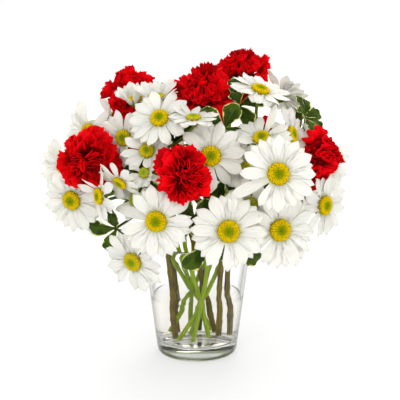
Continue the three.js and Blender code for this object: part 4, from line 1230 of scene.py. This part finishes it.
corners = {group: Corners("carnation_stems_" + group) for group in CROSSINGS}
stems = [find_carnation_stem(n + 1, corners[row[0]]) for n, row in enumerate(CARNATION_STEMS)]
for group in CROSSINGS:
    body = Body()
    for n, stem in enumerate(stems):
        if stem["group"] == group:
            jointed_tube(body, stem["line"], STEM["carnation"], 400 + n)
            carnation_calyx(body, stem)
    for number, share, azimuth in BLADE_LEAVES:
        stem = stems[number - 1]
        found = stem["group"] == group and find_blade_leaf(stem, share, azimuth, corners[group])
        if found:
            narrow_leaf(body, *found)
    body.piece("carnation_stalks_" + group, "stem_green", "carnation_stems_" + group)

for spray, rows in SPRAYS.items():
    corners = Corners("daisy_stems_" + spray)
    lines = [find_woody(stem, STEM["spray"], corners) for stem in SPRAY_STEMS[spray]]
    body = Body()
    for i, line in enumerate(lines):
        woody_tube(body, line, STEM["spray"], 430 + i + len(spray))
    for n, *_ in rows:
        daisy = daisies[n]
        flare = [(0.25, STEM["peduncle"] * 1.4), (1, daisy.disc * 0.74)]
        line, match = find_stalk(lines, daisy.back, daisy.axis, STEM["peduncle"], 4, flare, corners)
        if match > MATCH["stalk"]:
            stalk_tube(body, line, STEM["peduncle"], 460 + n)
        daisy_calyx(body, daisy)
    body.piece("daisy_stalks_" + spray, "stem_brown", "daisy_stems_" + spray)

corners = Corners("foliage")
branch = find_woody(BRANCH, STEM["branch"], corners)
twig = STEM["twig"]
body = Body()
woody_tube(body, branch, STEM["branch"], 520, 1.0)
for i, (x, y, z, azimuth, elevation, length, leaves) in enumerate(WHORLS):
    whorl = Star(200 + i, (x, y, z), azimuth, elevation, length * 2, leaves, LEAF)
    whorl.find(corners)
    centre, axis = whorl.centre, whorl.axis
    line, match = find_stalk([branch], centre - axis * GAP, axis, twig, 3, [(1, twig)], corners)
    if match < MATCH["stalk"] or not any(whorl.blades):
        continue
    stalk_tube(body, [*line, centre + axis * 0.5], twig, 530 + i, 1.0)
    for k, blade in enumerate(whorl.blades):
        if blade:
            points, sides, half = blade_parts(blade)
            points[0] = between(centre, points[0], 0.5)
            leaf(body, points, sides, half * 1.02, 560 + i * 9 + k)
body.piece("foliage_branch", "leaf_green", "foliage")

# ---- floor, light and camera, in metres

FLOOR_SIZE = 12.0
LIGHTS = {  # place, diameter, watts
    "key": ((-0.5, -1.6, 1.15), 0.6, 8.5),
    "fill": ((0.7, -1.5, 0.35), 1.0, 6),
    "rim": ((0.3, 1.6, 1.3), 1.0, 17),
}
LIGHT_TARGET = Vector((0, 0, 0.15))
VIEW = {"target": (0.003, 0, 0.158), "elevation": 13, "distance": 1.3, "lens": 117}


def place_object(name, data, location=(0, 0, 0), look=None):
    """A new object in the scene, turned to look in a direction."""
    obj = bpy.data.objects.new(name, data)
    obj.location = location
    if look:
        obj.rotation_euler = look.to_track_quat("-Z", "Y").to_euler()
    scene.collection.objects.link(obj)
    return obj


def pale_floor():
    """A floor that glows a little, less so near the vase, which paints a shadow round it, so that the
    vase's soft shadow shows on white.
    """
    p = Paint("pale_floor", 0.9, Specular_IOR_Level=0.1, Emission_Strength=0.595)
    cloud = p.noise(p.place(), 1.5, 2)
    distance = p.node("VectorMath", {0: p.place()}, operation="LENGTH").outputs["Value"]
    # Painted shadow: the glow is dimmer within about 0.4 m of the vase.
    p.feed("Emission Color", p.mix(p.span(distance, 0.05, 0.40), (0.93, 0.93, 0.93), (1, 1, 1)))
    return p.done(p.mix(p.span(cloud, 0.3, 0.7, 0, 0.2), (0.40, 0.40, 0.40), (0.39, 0.39, 0.39)))


scene.view_settings.view_transform = "Standard"
mesh = bpy.data.meshes.new("floor")
square = [(x * FLOOR_SIZE, y * FLOOR_SIZE, 0) for x, y in ((-1, -1), (1, -1), (1, 1), (-1, 1))]
mesh.from_pydata(square, [], [(0, 1, 2, 3)])
mesh.materials.append(pale_floor())
place_object("floor", mesh)
for name, (location, size, power) in LIGHTS.items():
    light = bpy.data.lights.new(name, "AREA")
    light.shape = "DISK"
    light.size = size
    light.energy = power
    place_object(name, light, location, LIGHT_TARGET - Vector(location))
scene.world = bpy.data.worlds.new("studio")
scene.world.use_nodes = True
background = scene.world.node_tree.nodes["Background"]
background.inputs["Color"].default_value = (1, 1, 1, 1)
background.inputs["Strength"].default_value = 0.98

camera = bpy.data.cameras.new("camera")
camera.lens = VIEW["lens"]
camera.sensor_width = 36
elevation = math.radians(VIEW["elevation"])
away = Vector((0, -math.cos(elevation), math.sin(elevation))) * VIEW["distance"]
scene.camera = place_object("camera", camera, Vector(VIEW["target"]) + away, -away)
